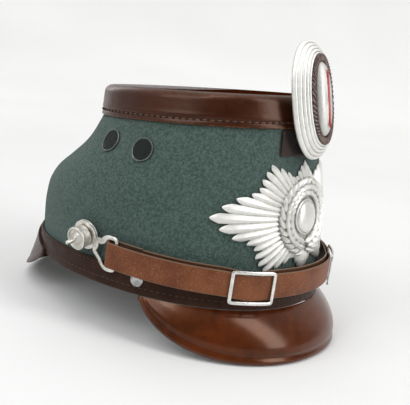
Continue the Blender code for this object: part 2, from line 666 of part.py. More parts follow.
def make_vent(side, place, name):
    metal = finish(name, (0.05, 0.06, 0.06), 0.5, 0.6)
    angle, share = VENT_PLACES[place]
    spin = np.radians(np.arange(16) * 360 / 16)
    hole = VENT_RADIUS - VENT_RIM
    high = GAP + VENT_RIM_THICK
    profile = [
        (VENT_RADIUS * 0.5, GAP), (VENT_RADIUS, GAP), (VENT_RADIUS, mix(GAP, high, 0.5)),
        (VENT_RADIUS - VENT_RIM * 0.5, high), (hole, GAP + VENT_MESH_THICK),
        (hole * 0.5, GAP + VENT_MESH_THICK),
    ]

    def place_at(radius, lift):
        return on_wall(side * radius * np.cos(spin), radius * np.sin(spin), lift, side * angle, share)

    rings = [place_at(radius, lift) for radius, lift in profile]
    back = on_wall(0.0, 0.0, GAP, side * angle, share)
    front = on_wall(0.0, 0.0, GAP + VENT_MESH_THICK, side * angle, share)
    solid(name, rings, metal, back, front)


def cockade_point(across, up, out):
    """Places on the cockade: across and up from its centre in its leaning plane, and out of its flat back."""
    lean = np.radians(COCKADE_LEAN)
    y = FOOT_FRONT_Y + COCKADE_BACK + up * np.sin(lean) - out * np.cos(lean)
    z = COCKADE_Z + up * np.cos(lean) + out * np.sin(lean)
    return np.stack(np.broadcast_arrays(across, y, z), -1)


def cockade_oval(width, height, out, power=2.3):
    spin = np.radians(np.arange(28) * 360 / 28)
    across = width / 2 * np.sign(np.sin(spin)) * np.abs(np.sin(spin)) ** (2 / power)
    up = height / 2 * np.sign(np.cos(spin)) * np.abs(np.cos(spin)) ** (2 / power)
    return cockade_point(across, up, out)


def make_cockade():
    silver = finish("cockade_silver", (0.80, 0.80, 0.77), 0.45, 0.85)
    copper = finish("cockade_ring", (0.16, 0.09, 0.075), 0.42, 0.7)
    white = finish("cockade_core", (0.83, 0.83, 0.80), 0.45, 0.8)
    red = finish("cockade_inlay", (0.55, 0.03, 0.03), 0.45)
    rings = [cockade_oval(COCKADE_WIDTH * 0.5, COCKADE_HEIGHT * 0.7, 0.0),
             cockade_oval(COCKADE_WIDTH - 0.0010, COCKADE_HEIGHT - 0.0010, 0.0)]
    for ridge in range(COCKADE_RIDGES):
        for part, dip in ((0.0, COCKADE_GROOVE), (0.5, 0.0)):
            share = (ridge + part) / COCKADE_RIDGES
            rise = COCKADE_EDGE + (COCKADE_DEPTH - COCKADE_EDGE) * np.sin(share * np.pi / 2) - dip
            rings.append(cockade_oval(mix(COCKADE_WIDTH, RING_WIDTH, share),
                                      mix(COCKADE_HEIGHT, RING_HEIGHT, share), rise))
    rings.append(cockade_oval(RING_WIDTH, RING_HEIGHT, COCKADE_DEPTH))
    rings.append(cockade_oval(RING_WIDTH * 0.5, RING_HEIGHT * 0.7, COCKADE_DEPTH))
    middle = cockade_point(0.0, 0.0, COCKADE_DEPTH)
    solid("cockade_shell", rings, silver, cockade_point(0.0, 0.0, 0.0), middle)

    seat = COCKADE_DEPTH + GAP
    section = [(0, 0), (0, 0.5), (0.5, 1.0), (1, 0.4), (1, 0)]
    rings = [cockade_oval(RING_WIDTH - 2 * RING_BAND * inward, RING_HEIGHT - 2 * RING_BAND * inward,
                          seat + RING_THICK * high) for inward, high in section]
    solid("cockade_ring", rings, copper)

    width, height = RING_WIDTH - 2 * (RING_BAND + GAP), RING_HEIGHT - 2 * (RING_BAND + GAP)
    core_top = seat + CORE_THICK
    section = [(0.5, 0.0), (1.0, 0.0), (1.0, 0.50), (0.88, 0.84), (0.62, 1.0), (0.3, 1.0)]
    rings = [cockade_oval(width * wide, height * mix(1, wide, 0.5), seat + CORE_THICK * high)
             for wide, high in section]
    solid("cockade_core", rings, white, cockade_point(0.0, 0.0, seat), cockade_point(0.0, 0.0, core_top))

    rings = []
    for wide, high in ((0.5, 0), (1, 0), (1, 0.6), (0.5, 1)):
        out = core_top + GAP + INLAY_THICK * high
        rings.append(cockade_oval(INLAY_WIDTH * wide, INLAY_HEIGHT * mix(1, wide, 0.2), out, 2.0))
    solid("cockade_inlay", rings, red, cockade_point(0.0, 0.0, core_top + GAP),
          cockade_point(0.0, 0.0, core_top + GAP + INLAY_THICK))


def make_sleeve():
    leather = finish("sleeve_leather", (0.02, 0.02, 0.025), 0.5)
    strap = finish("cockade_tongue", (0.03, 0.03, 0.035), 0.5)
    across = np.linspace(-1, 1, 9) * SLEEVE_WIDTH / 2
    share = 1 - (SLEEVE_HEIGHT / 2 + GAP) / (CROWN_FRONT_Z - FOOT_FRONT_Z)
    half = SLEEVE_HEIGHT / 2
    top = half - 0.001
    outline = [(-half, GAP), (top, GAP), (top, GAP + SLEEVE_WALL), (-half, GAP + SLEEVE_WALL)]
    sections = [[on_wall(x, up, lift, 0.0, share) for up, lift in outline] for x in across]
    sections = np.array(sections)
    solid("cockade_sleeve", sections, leather, sections[0].mean(axis=0), sections[-1].mean(axis=0))
    foot_share = wall_share(TONGUE_FOOT_Z, wall(0.0, share)[1])
    behind = (cap_wall(0.0, 0.0, CAP_WALL + 2 * GAP)[1], wall(0.0, foot_share, SLEEVE_WALL + 2 * GAP)[1])
    lean = np.tan(np.radians(COCKADE_LEAN))
    rings = []
    for z, back_y in zip((TONGUE_TOP_Z, TONGUE_FOOT_Z), behind):
        front_y = FOOT_FRONT_Y + COCKADE_BACK - (COCKADE_Z - z) * lean + GAP
        half = TONGUE_WIDTH / 2
        rings.append([(-half, front_y, z), (half, front_y, z), (half, back_y, z), (-half, back_y, z)])
    rings = np.array(rings)
    solid("cockade_tongue", rings, strap, rings[0].mean(axis=0), rings[-1].mean(axis=0))


BADGE_SHARE = (BADGE_Z - FOOT_FRONT_Z) / (CROWN_FRONT_Z - FOOT_FRONT_Z)


def badge_point(across, up, lift):
    return on_wall(across, up, lift, 0.0, BADGE_SHARE)


def make_badge():
    silver = finish("badge_star", (0.80, 0.80, 0.77), 0.42, 0.9)
    rays = STAR_POINTS * STAR_FLUTES
    spin = np.radians(np.arange(2 * rays) * 180 / rays)
    power = 2.6
    reach = (np.abs(np.sin(spin) / STAR_HALF_WIDTH) ** power
             + np.abs(np.cos(spin) / STAR_HALF_HEIGHT) ** power) ** (-1 / power)
    turn = (spin * STAR_POINTS / (2 * np.pi) + 0.5) % 1 - 0.5
    tip = np.arange(2 * rays) % 2 == 0
    length = 1 - 0.62 * np.abs(turn)
    reach = reach * np.where(tip, length, length * 0.93)
    hub = WREATH_RADIUS + WREATH_BAND / 2 + 0.0008
    low = BADGE_OFF_FELT
    rings = []
    for radius in (hub * 0.5, hub):
        rings.append(badge_point(radius * np.sin(spin), radius * np.cos(spin), low))
    for share in (0.22, 0.45, 0.7, 1.0):
        radius = mix(hub, reach, share)
        rings.append(badge_point(radius * np.sin(spin), radius * np.cos(spin), low))
    for share in (1.0, 0.67, 0.33):
        radius = mix(hub, reach, share)
        thick = STAR_PLATE * (1 - 0.55 * share)
        lift = low + thick + np.where(tip, STAR_RAY_LIFT * (1 - 0.5 * share), 0.0)
        rings.append(badge_point(radius * np.sin(spin), radius * np.cos(spin), lift))
    top = low + STAR_PLATE
    for radius in (hub, hub * 0.5):
        rings.append(badge_point(radius * np.sin(spin), radius * np.cos(spin), top))
    solid("badge_star", rings, silver, badge_point(0.0, 0.0, low), badge_point(0.0, 0.0, top))

    leaf_silver = finish("badge_wreath", (0.82, 0.82, 0.79), 0.40, 0.9)
    sides = WREATH_LEAVES * 4
    spin = np.radians(np.arange(sides) * 360 / sides)
    wave = np.abs(np.sin(spin * WREATH_LEAVES / 2)) ** 0.7
    seat = top + GAP
    outer = WREATH_RADIUS + WREATH_BAND / 2 * (0.78 + 0.22 * wave)
    inner = WREATH_RADIUS - WREATH_BAND / 2 * (0.78 + 0.22 * wave)
    rings = []
    for share, high in ((0, 0), (0, 0.4), (0.5, 1), (1, 0.4), (1, 0)):
        radius = mix(outer, inner, share)
        rings.append(badge_point(radius * np.sin(spin), radius * np.cos(spin), seat + WREATH_THICK * high))
    solid("badge_wreath", rings, leaf_silver)

    boss_silver = finish("badge_boss", (0.80, 0.80, 0.77), 0.33, 0.9)
    spin = np.radians(np.arange(24) * 360 / 24)
    rings = []
    for wide, high in ((0.5, 0), (1, 0), (1, 0.18), (0.92, 0.42), (0.72, 0.74), (0.4, 0.94)):
        radius = BOSS_RADIUS * wide
        rings.append(badge_point(radius * np.sin(spin), radius * np.cos(spin), seat + BOSS_DOME * high))
    crown = badge_point(0.0, 0.0, seat + BOSS_DOME)
    solid("badge_boss", rings, boss_silver, badge_point(0.0, 0.0, seat), crown)


clear_scene()
make_shell()
make_peaks()
make_strap()
for hand, label in ((-1, "right"), (1, "left")):
    make_post(hand, "side_post_" + label)
    make_hook(hand, "strap_hook_" + label)
    make_buckle(hand, "strap_buckle_" + label)
    make_rivet(hand, "peak_rivet_" + label)
    for spot in VENT_PLACES:
        make_vent(hand, spot, "vent_" + label + "_" + spot)
make_cockade()
make_sleeve()
make_badge()
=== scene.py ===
import bmesh
import bpy
import numpy as np
from mathutils import Matrix, Vector


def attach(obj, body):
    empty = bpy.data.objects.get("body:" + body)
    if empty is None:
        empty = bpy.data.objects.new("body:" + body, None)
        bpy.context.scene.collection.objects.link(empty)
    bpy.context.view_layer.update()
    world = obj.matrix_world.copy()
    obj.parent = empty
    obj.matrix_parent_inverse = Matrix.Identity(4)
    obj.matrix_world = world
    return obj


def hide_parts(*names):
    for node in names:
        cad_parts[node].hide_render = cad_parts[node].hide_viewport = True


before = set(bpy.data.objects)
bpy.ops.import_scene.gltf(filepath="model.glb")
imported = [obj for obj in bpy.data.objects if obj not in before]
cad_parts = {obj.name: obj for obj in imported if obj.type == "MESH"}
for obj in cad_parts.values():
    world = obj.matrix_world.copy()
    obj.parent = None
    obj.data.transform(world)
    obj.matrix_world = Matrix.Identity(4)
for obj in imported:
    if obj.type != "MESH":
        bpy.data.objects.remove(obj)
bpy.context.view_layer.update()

# Felt body
# A tall crown blocked from one piece of thick grey-green wool felt, leaning forward and full at the back of the
# head. It has no lining: the same felt shows inside, and its top goes up inside the leather cap.
OVAL_POWER = 2.15
FOOT_LENGTH = 0.2195
FOOT_WIDTH = 0.182
FOOT_FRONT_Z, FOOT_REAR_Z = 0.0338, 0.0290
CROWN_LENGTH = 0.1601
CROWN_WIDTH = 0.142
CROWN_FRONT_Z, CROWN_REAR_Z = 0.1548, 0.1365
CROWN_SETBACK = 0.0181
REAR_SWELL = 0.0210
FELT_WALL = 0.0020
GAP = 0.0003
FOOT_FRONT_Y = -0.107896
FOOT_REAR_Y = FOOT_FRONT_Y + FOOT_LENGTH
CROWN_FRONT_Y = FOOT_FRONT_Y + CROWN_SETBACK
CROWN_REAR_Y = CROWN_FRONT_Y + CROWN_LENGTH
CAP_SETBACK, CAP_LENGTH, CAP_WIDTH = 0.0068, 0.1544, 0.1364
CAP_FRONT_RISE, CAP_REAR_RISE = 0.0220, 0.0215
FELT_UNDER_CAP = 0.55
# Columns: share of the height, share of REAR_SWELL, share of the way from crown width to foot width
WALL_ROWS = np.array([
    (0.0, 0.00, 1.00), (0.2, 0.47, 1.02), (0.4, 0.89, 0.98), (0.5, 1.00, 0.92),
    (0.6, 0.87, 0.83), (0.7, 0.48, 0.66), (0.8, 0.12, 0.45), (1.0, 0.00, 0.00),
])


def mix(a, b, share):
    return a + (b - a) * share


def squared_off(value, power):
    """A power that keeps the sign: of a circle's sine and cosine it makes a squarer form."""
    return np.sign(value) * np.abs(value) ** power


def read_rows(rows, share, column):
    """A column of a table at any share: a cubic between rows, with the slopes of the neighbouring rows."""
    at, value = rows[:, 0], rows[:, column]
    slope = np.gradient(value, at)
    share = np.clip(share, at[0], at[-1])
    left = np.clip(np.searchsorted(at, share, "right") - 1, 0, len(at) - 2)
    width = at[left + 1] - at[left]
    x = (share - at[left]) / width
    start = value[left] * (1 + 2 * x) * (1 - x) ** 2 + slope[left] * width * x * (1 - x) ** 2
    end = value[left + 1] * (3 - 2 * x) * x**2 - slope[left + 1] * width * (1 - x) * x**2
    return start + end


def oval(angle, front_y, rear_y, half_width, grow=0.0):
    """Squared ellipse: x and y are the half sizes times sine and cosine, each to the power 2 / OVAL_POWER."""
    across, along = np.sin(angle), np.cos(angle)
    power = 2 / OVAL_POWER
    half_length = (rear_y - front_y) / 2 + grow
    x = (half_width + grow) * squared_off(across, power)
    y = (front_y + rear_y) / 2 - half_length * squared_off(along, power)
    return x, y


def foot_z(y):
    return mix(FOOT_FRONT_Z, FOOT_REAR_Z, (y - FOOT_FRONT_Y) / FOOT_LENGTH)


def crown_z(y):
    return mix(CROWN_FRONT_Z, CROWN_REAR_Z, (y - CROWN_FRONT_Y) / CROWN_LENGTH)


def wall(angle, share, grow=0.0):
    """The felt's outer face: ovals that change from the foot's to the crown's with the share of the height."""
    angle, share = np.broadcast_arrays(np.asarray(angle, float), np.asarray(share, float))
    front = mix(FOOT_FRONT_Y, CROWN_FRONT_Y, share)
    rear = mix(FOOT_REAR_Y, CROWN_REAR_Y, share) + REAR_SWELL * read_rows(WALL_ROWS, share, 1)
    half = mix(CROWN_WIDTH, FOOT_WIDTH, read_rows(WALL_ROWS, share, 2)) / 2
    x, y = oval(angle, front, rear, half, grow)
    return np.stack([x, y, mix(foot_z(y), crown_z(y), share)], -1)


def cap_wall(angle, rise, grow=0.0):
    """The surface that the cap hugs: ovals from the crown line (rise 0) to the cap's top (rise 1)."""
    angle, rise = np.broadcast_arrays(np.asarray(angle, float), np.asarray(rise, float))
    front = mix(CROWN_FRONT_Y, CROWN_FRONT_Y + CAP_SETBACK, rise)
    rear = mix(CROWN_REAR_Y, CROWN_FRONT_Y + CAP_SETBACK + CAP_LENGTH, rise)
    half = mix(CROWN_WIDTH, CAP_WIDTH, rise) / 2
    x, y = oval(angle, front, rear, half, grow)
    height = mix(CAP_FRONT_RISE, CAP_REAR_RISE, (y - front) / (rear - front))
    return np.stack([x, y, crown_z(y) + rise * height], -1)


def add_piece(name, points, faces, material, marks=None, sharp=35):
    """Puts points and faces into a mesh, turned outwards by the sign of the volume that they enclose."""
    points = np.asarray(points, float)
    mesh = bpy.data.meshes.new(name)
    mesh.from_pydata(points.tolist(), [], [list(face) for face in faces])
    shaped = bmesh.new()
    shaped.from_mesh(mesh)
    if shaped.calc_volume(signed=True) < 0:
        bmesh.ops.reverse_faces(shaped, faces=shaped.faces)
    shaped.to_mesh(mesh)
    shaped.free()
    for mark, values in (marks or {}).items():
        layer = mesh.attributes.new(mark, "FLOAT", "POINT")
        layer.data.foreach_set("value", np.asarray(values, np.float32).ravel())
    mesh.materials.append(material)
    mesh.shade_smooth()
    mesh.set_sharp_from_angle(angle=np.radians(sharp))
    piece = bpy.data.objects.new(name, mesh)
    bpy.context.collection.objects.link(piece)
    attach(piece, "root")
    return piece


def grid_faces(rows, sides, closed):
    """Four-sided faces of a grid whose columns close, and whose rows close too where asked."""
    row = np.arange(rows if closed else rows - 1)[:, None]
    side = np.arange(sides)[None]
    after = (side + 1) % sides
    above = (row + 1) % rows
    corners = [row * sides + side, row * sides + after, above * sides + after, above * sides + side]
    return np.stack(corners, -1).reshape(-1, 4)


def skin(name, rings, material, poles=None, marks=None, sharp=35):
    """A closed body of rings of points: two poles close its ends, or else its last ring joins the first."""
    rings = np.asarray(rings, float)
    rows, sides = rings.shape[:2]
    points = rings.reshape(-1, 3)
    faces = grid_faces(rows, sides, poles is None).tolist()
    marks = {mark: np.broadcast_to(values, (rows, sides)).ravel() for mark, values in (marks or {}).items()}
    if poles is not None:
        last = (rows - 1) * sides
        side = np.arange(sides)
        after = (side + 1) % sides
        start = np.stack([after, side, np.full(sides, rows * sides)], -1)
        end = np.stack([last + side, last + after, np.full(sides, rows * sides + 1)], -1)
        faces += start.tolist() + end.tolist()
        points = np.vstack([points, poles[0], poles[1]])
        marks = {mark: np.append(values, [values[0], values[-1]]) for mark, values in marks.items()}
    return add_piece(name, points, faces, material, marks, sharp)


def ends_of(rings):
    """The middles of the first and the last ring, as poles for skin."""
    return rings[0].mean(axis=0), rings[-1].mean(axis=0)


def many_bodies(name, bodies, material, marks=None, sharp=35):
    """Bodies of like rows and sides in one mesh, each closed by a flat face at its two ends."""
    count, rows, sides = bodies.shape[:3]
    size = rows * sides
    faces = (grid_faces(rows, sides, False) + np.arange(count)[:, None, None] * size).reshape(-1, 4).tolist()
    ends = (range(sides - 1, -1, -1), range(size - sides, size))
    faces += [[corner + size * index for corner in end] for index in range(count) for end in ends]
    return add_piece(name, bodies.reshape(-1, 3), faces, material, marks, sharp)


def material_of(name, roughness, metallic=0.0, coat=0.0, coat_roughness=0.05, sheen=0.0, specular=0.5):
    """A Principled material whose even values sit on the shader's own sockets."""
    material = bpy.data.materials.new(name)
    material.use_nodes = True
    shader = material.node_tree.nodes["Principled BSDF"]
    shader.inputs["Roughness"].default_value = roughness
    shader.inputs["Metallic"].default_value = metallic
    shader.inputs["Coat Weight"].default_value = coat
    shader.inputs["Coat Roughness"].default_value = coat_roughness
    shader.inputs["Sheen Weight"].default_value = sheen
    shader.inputs["Sheen Roughness"].default_value = 0.5
    shader.inputs["Specular IOR Level"].default_value = specular
    return material


def plug(material, value, socket):
    """Joins an output to a socket, or sets the socket to a plain number or colour."""
    if isinstance(value, bpy.types.NodeSocket):
        material.node_tree.links.new(value, socket)
    elif isinstance(value, (tuple, list)):
        socket.default_value = (*value, 1.0)
    else:
        socket.default_value = value


def speckle(material, scale, detail=3.0, rough=0.55, stretch=(1, 1, 1)):
    """Noise on Object coordinates, scale being in features for each metre."""
    nodes = material.node_tree.nodes
    where = nodes.new("ShaderNodeTexCoord").outputs["Object"]
    if stretch != (1, 1, 1):
        mapping = nodes.new("ShaderNodeMapping")
        mapping.inputs["Scale"].default_value = stretch
        plug(material, where, mapping.inputs["Vector"])
        where = mapping.outputs["Vector"]
    noise = nodes.new("ShaderNodeTexNoise")
    noise.inputs["Scale"].default_value = scale
    noise.inputs["Detail"].default_value = detail
    noise.inputs["Roughness"].default_value = rough
    plug(material, where, noise.inputs["Vector"])
    return noise.outputs["Fac"]


def between(material, value, low, high, to_low=0.0, to_high=1.0):
    """Stretches the part of a value from low to high over the range to_low to to_high."""
    node = material.node_tree.nodes.new("ShaderNodeMapRange")
    plug(material, value, node.inputs["Value"])
    for socket, number in zip(("From Min", "From Max", "To Min", "To Max"), (low, high, to_low, to_high)):
        node.inputs[socket].default_value = number
    return node.outputs["Result"]


def mottle(material, low, high, scale, detail=3.0, rough=0.55, stretch=(1, 1, 1)):
    """Noise whose part from low to high is stretched over 0 to 1."""
    return between(material, speckle(material, scale, detail, rough, stretch), low, high)


def blend_colour(material, share, first, second):
    node = material.node_tree.nodes.new("ShaderNodeMix")
    node.data_type = "RGBA"
    plug(material, share, node.inputs["Factor"])
    plug(material, first, node.inputs["A"])
    plug(material, second, node.inputs["B"])
    return node.outputs["Result"]


def combine(material, operation, first, second):
    node = material.node_tree.nodes.new("ShaderNodeMath")
    node.operation = operation
    plug(material, first, node.inputs[0])
    plug(material, second, node.inputs[1])
    return node.outputs["Value"]


def mark_of(material, name):
    node = material.node_tree.nodes.new("ShaderNodeAttribute")
    node.attribute_name = name
    return node.outputs["Fac"]


def finish_with(material, colour, roughness=None, height=None, strength=0.3, distance=0.0004):
    """Joins the colour, the roughness and a bump height to the shader."""
    shader = material.node_tree.nodes["Principled BSDF"]
    plug(material, colour, shader.inputs["Base Color"])
    if roughness is not None:
        plug(material, roughness, shader.inputs["Roughness"])
    if height is not None:
        bump = material.node_tree.nodes.new("ShaderNodeBump")
        bump.inputs["Strength"].default_value = strength
        bump.inputs["Distance"].default_value = distance
        plug(material, height, bump.inputs["Height"])
        plug(material, bump.outputs["Normal"], shader.inputs["Normal"])
        if shader.inputs["Coat Weight"].default_value > 0:
            plug(material, bump.outputs["Normal"], shader.inputs["Coat Normal"])
    return material


def wool_felt():
    """Grey-green wool: dark and pale fibres in fine, middle and broad mottling, all dull."""
    felt = material_of("wool felt", 0.95, sheen=0.12, specular=0.10)
    fine = mottle(felt, 0.36, 0.64, 1300, 4, 0.75)
    middle = mottle(felt, 0.38, 0.62, 520, 3, 0.65)
    broad = mottle(felt, 0.35, 0.65, 60, 2)
    colour = blend_colour(felt, fine, (0.014, 0.034, 0.028), (0.118, 0.172, 0.150))
    patch = blend_colour(felt, middle, (0.018, 0.042, 0.035), (0.108, 0.158, 0.138))
    colour = blend_colour(felt, 0.60, colour, patch)
    shade = blend_colour(felt, broad, (0.042, 0.076, 0.066), (0.068, 0.104, 0.092))
    colour = blend_colour(felt, 0.20, colour, shade)
    pale_fibre = mottle(felt, 0.68, 0.76, 700, 2, 0.5, (1, 1, 0.4))
    colour = blend_colour(felt, combine(felt, "MULTIPLY", pale_fibre, 0.35), colour, (0.20, 0.25, 0.225))
    height = combine(felt, "ADD", fine, middle)
    return finish_with(felt, colour, None, height, 0.70, 0.0006)


WALL_SIDES, FELT_ROWS, FELT_CAP_ROWS = 288, 84, 10
FELT_WAVE, FELT_WAVE_SINK = 0.00007, 0.0001
AROUND = np.radians(np.arange(WALL_SIDES) * 360.0 / WALL_SIDES)
felt_shares = np.linspace(0, 1, FELT_ROWS)[:, None]
felt_rises = np.linspace(0, FELT_UNDER_CAP, FELT_CAP_ROWS)[1:, None]


def felt_unevenness(angle, share):
    """Low waves round and up the wall, at most a fifth of a millimetre each way, as hand-blocked felt has."""
    waves = np.sin(5 * angle + 7 * share) + np.sin(11 * angle - 13 * share + 1)
    waves = waves + 0.7 * np.sin(17 * angle + 23 * share)
    return FELT_WAVE * waves - FELT_WAVE_SINK


outer_rows = np.concatenate([wall(AROUND, felt_shares, felt_unevenness(AROUND, felt_shares)),
                             cap_wall(AROUND, felt_rises)])
inner_rows = np.concatenate([wall(AROUND, felt_shares[::3], -FELT_WALL),
                             cap_wall(AROUND, felt_rises, -FELT_WALL)])
felt = skin("felt_shell", np.concatenate([outer_rows, inner_rows[::-1]]), wool_felt())
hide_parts("felt_body")

# Crown cap
# A shallow cap of dark brown lacquered leather, wet-moulded over the top of the felt: one disc with a skirt, its
# edge cut clean and sewn through with a row of waxed thread. The skirt is glossy and dented, the top rubbed dull.
CAP_WALL = 0.0015
CAP_EDGE_ROUND = 0.0052
CAP_TOP_SINK = 0.0012
CAP_STITCH_RISE = 0.165
CAP_STITCHES = 99
CAP_FOOT_RISE, CAP_LIP_DROP = 0.02, 0.035
CAP_DENT, CAP_CREASE, CAP_ROLL, CAP_TOP_WAVE = 0.00022, 0.00055, 0.00018, 0.00018
CAP_SKIRT_ROWS, CAP_PLAIN_ROWS, CAP_BEND_ROWS, CAP_PANEL_ROWS = 26, 10, 10, 26
STITCH_LENGTH, THREAD_WIDTH, HOLE_LENGTH, HOLE_WIDTH, HOLE_SINK = 0.0030, 0.0007, 0.0020, 0.0016, 0.0003
CAP_BROWN = (0.010, 0.0014, 0.0003), (0.027, 0.0046, 0.0009), (0.048, 0.0095, 0.0022)
CAP_COAT = 0.12
RUN_STEPS = 2881
cap_height = (CAP_FRONT_RISE + CAP_REAR_RISE) / 2


def cap_dents(angle, rise):
    """Waves round the skirt that fade out towards the sewn edge, with a crease pressed along the stitches."""
    waves = 0.5 * np.sin(6 * angle + 0.7) + 0.35 * np.sin(13 * angle + 2.1) + 0.2 * np.sin(29 * angle)
    crease = np.exp(-((rise - CAP_STITCH_RISE) / 0.055) ** 2)
    roll = np.exp(-((rise - CAP_STITCH_RISE - 0.14) / 0.06) ** 2)
    return CAP_DENT * waves * np.clip(rise * 1.6, 0, 1) - CAP_CREASE * crease + CAP_ROLL * roll


def cap_rings(grow, below, edge, detail):
    """Rings up the skirt, over its rounded shoulder and in over the dished top to the middle."""
    top = 1 - below / cap_height
    shoulder = top - edge / cap_height
    rises = np.linspace(CAP_FOOT_RISE, shoulder, CAP_SKIRT_ROWS if detail else CAP_PLAIN_ROWS)[:, None]
    side = cap_wall(AROUND, rises, grow + (cap_dents(AROUND, rises) if detail else 0))
    turn = np.linspace(0, np.pi / 2, CAP_BEND_ROWS)[1:, None]
    bend_dents = cap_dents(AROUND, 1.0) * np.cos(turn) if detail else 0
    bend = cap_wall(AROUND, top - edge / cap_height * (1 - np.sin(turn)),
                    grow - edge * (1 - np.cos(turn)) + bend_dents)
    middle = bend[-1].mean(axis=0)
    reach = np.linspace(1, 0, CAP_PANEL_ROWS)[1:-1, None, None]
    panel = middle + (bend[-1] - middle) * reach
    wave = CAP_TOP_WAVE * np.sin(55 * panel[..., 0] + 1.3) * np.sin(48 * panel[..., 1]) if detail else 0
    panel[..., 2] += -CAP_TOP_SINK * (1 - reach[..., 0] ** 2) + wave * (1 - reach[..., 0] ** 4)
    return np.concatenate([side, bend, panel]), middle - (0, 0, CAP_TOP_SINK)


def lacquered_leather(name, tones, coat, rough=0.35, grain=0.25):
    """Leather under lacquer in dark, main and light tones, with fine pores, pale where worn and dull if rubbed."""
    dark, main, light = tones
    gloss = coat * 3.2
    leather = material_of(name, rough, coat=coat, coat_roughness=0.14, specular=gloss)
    cloud = mottle(leather, 0.30, 0.70, 32, 4, 0.6)
    streak = mottle(leather, 0.35, 0.70, 140, 5, 0.65)
    colour = blend_colour(leather, cloud, dark, main)
    colour = blend_colour(leather, combine(leather, "MULTIPLY", streak, 0.35), colour, light)
    scuff = combine(leather, "MULTIPLY", mark_of(leather, "wear"), mottle(leather, 0.42, 0.58, 420, 4, 0.7))
    colour = blend_colour(leather, scuff, colour, (0.22, 0.105, 0.048))
    pore = speckle(leather, 2600, 2, 0.5)
    crackle = combine(leather, "ADD", combine(leather, "MULTIPLY", pore, 0.4), speckle(leather, 300, 3, 0.6))
    roughness = between(leather, speckle(leather, 260, 4, 0.7), 0.3, 0.7, rough * 0.8, rough * 1.35)
    shader = leather.node_tree.nodes["Principled BSDF"]
    rubbed = mark_of(leather, "rubbed")
    plug(leather, between(leather, rubbed, 0.0, 1.0, coat, 0.0), shader.inputs["Coat Weight"])
    plug(leather, between(leather, rubbed, 0.0, 1.0, gloss, 0.0), shader.inputs["Specular IOR Level"])
    plug(leather, (1.0, 0.56, 0.38), shader.inputs["Specular Tint"])
    return finish_with(leather, colour, roughness, crackle, grain, 0.0003)


cap_outside, cap_outside_middle = cap_rings(GAP + CAP_WALL, 0.0, CAP_EDGE_ROUND, True)
cap_inside, cap_inside_middle = cap_rings(GAP, CAP_WALL, CAP_EDGE_ROUND - CAP_WALL, False)
turn = np.linspace(0, np.pi, 9)[1:-1, None]
cap_lip = cap_wall(AROUND, CAP_FOOT_RISE - CAP_LIP_DROP * np.sin(turn),
                   GAP + CAP_WALL / 2 + (CAP_WALL / 2) * np.cos(turn))
cap_rows = np.concatenate([cap_outside[::-1], cap_lip, cap_inside])
cap_lip_row = len(cap_outside)
cap_shoulder_row = cap_lip_row - CAP_SKIRT_ROWS
cap_wear = np.zeros(len(cap_rows))
cap_wear[cap_lip_row - 2:cap_lip_row + 4] = (0.05, 0.22, 0.35, 0.35, 0.25, 0.1)
cap_wear[cap_shoulder_row - 6:cap_shoulder_row - 2] = 0.12
cap_leather = lacquered_leather("cap leather", CAP_BROWN, CAP_COAT)
cap_rubbed = np.zeros((len(cap_rows), len(AROUND)))
panel_y = cap_rows[:CAP_PANEL_ROWS, :, 1]
cap_rubbed[:CAP_PANEL_ROWS] = np.clip(2.8 * (CROWN_REAR_Y - panel_y) / CROWN_LENGTH, 0, 1)
cap = skin("leather_cap", cap_rows, cap_leather, (cap_outside_middle, cap_inside_middle),
           {"wear": cap_wear[:, None], "rubbed": cap_rubbed}, 50)
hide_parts("crown_cap")


def thread_material(name, colour):
    thread = material_of(name, 0.7)
    twist = mottle(thread, 0.3, 0.7, 2400, 2)
    tone = blend_colour(thread, twist, tuple(c * 0.6 for c in colour), colour)
    return finish_with(thread, tone, None, twist, 0.3)


def stitch_row(name, at, length, width, material, sunk=0.0):
    """Short capsules laid end to end along a run, where at(place, lift) gives points on the leather.

    Each has nine sections that narrow towards its ends, and the ends dip into their holes.
    """
    sections = np.linspace(-1, 1, 9)
    spin = np.radians(np.arange(8) * 45)
    radius = width / 2 * np.sqrt(np.clip(1 - np.abs(sections) ** 5, 0.02, 1))
    lift = sunk + width * 0.32 * (1 - 0.9 * np.abs(sections) ** 4)
    points, run, out = at(sections * length / 2, lift)
    side = np.cross(run, out)
    ring = (np.cos(spin)[:, None] * side[:, :, None] + np.sin(spin)[:, None] * out[:, :, None])
    return many_bodies(name, points[:, :, None] + radius[None, :, None, None] * ring, material)


def row_on(surface, starts, reach):
    """Places for stitch_row on a surface(step, lift): where each starts, and how a metre changes the step."""
    def at(place, lift):
        step = starts[:, None] + place[None] * reach
        points = surface(step, lift[None])
        run = surface(step + reach * 1e-4, lift[None]) - points
        run /= np.linalg.norm(run, axis=-1, keepdims=True)
        out = surface(step, lift[None] + 1e-4) - points
        out -= (out * run).sum(-1, keepdims=True) * run
        out /= np.linalg.norm(out, axis=-1, keepdims=True)
        return points, run, out
    return at


def even_angles(surface, count):
    """Angles that part the run round the hat into equal lengths, and the angle that a metre takes there."""
    fine = np.radians(np.linspace(-180.0, 180.0, RUN_STEPS))
    path = surface(fine, 0.0)
    length = np.concatenate([[0], np.cumsum(np.linalg.norm(np.diff(path, axis=0), axis=1))])
    places = np.interp((np.arange(count) + 0.5) / count * length[-1], length, fine)
    return places, (fine[-1] - fine[0]) / length[-1]


def on_cap_stitch(angle, lift):
    return cap_wall(angle, CAP_STITCH_RISE, GAP + CAP_WALL - CAP_CREASE + lift)


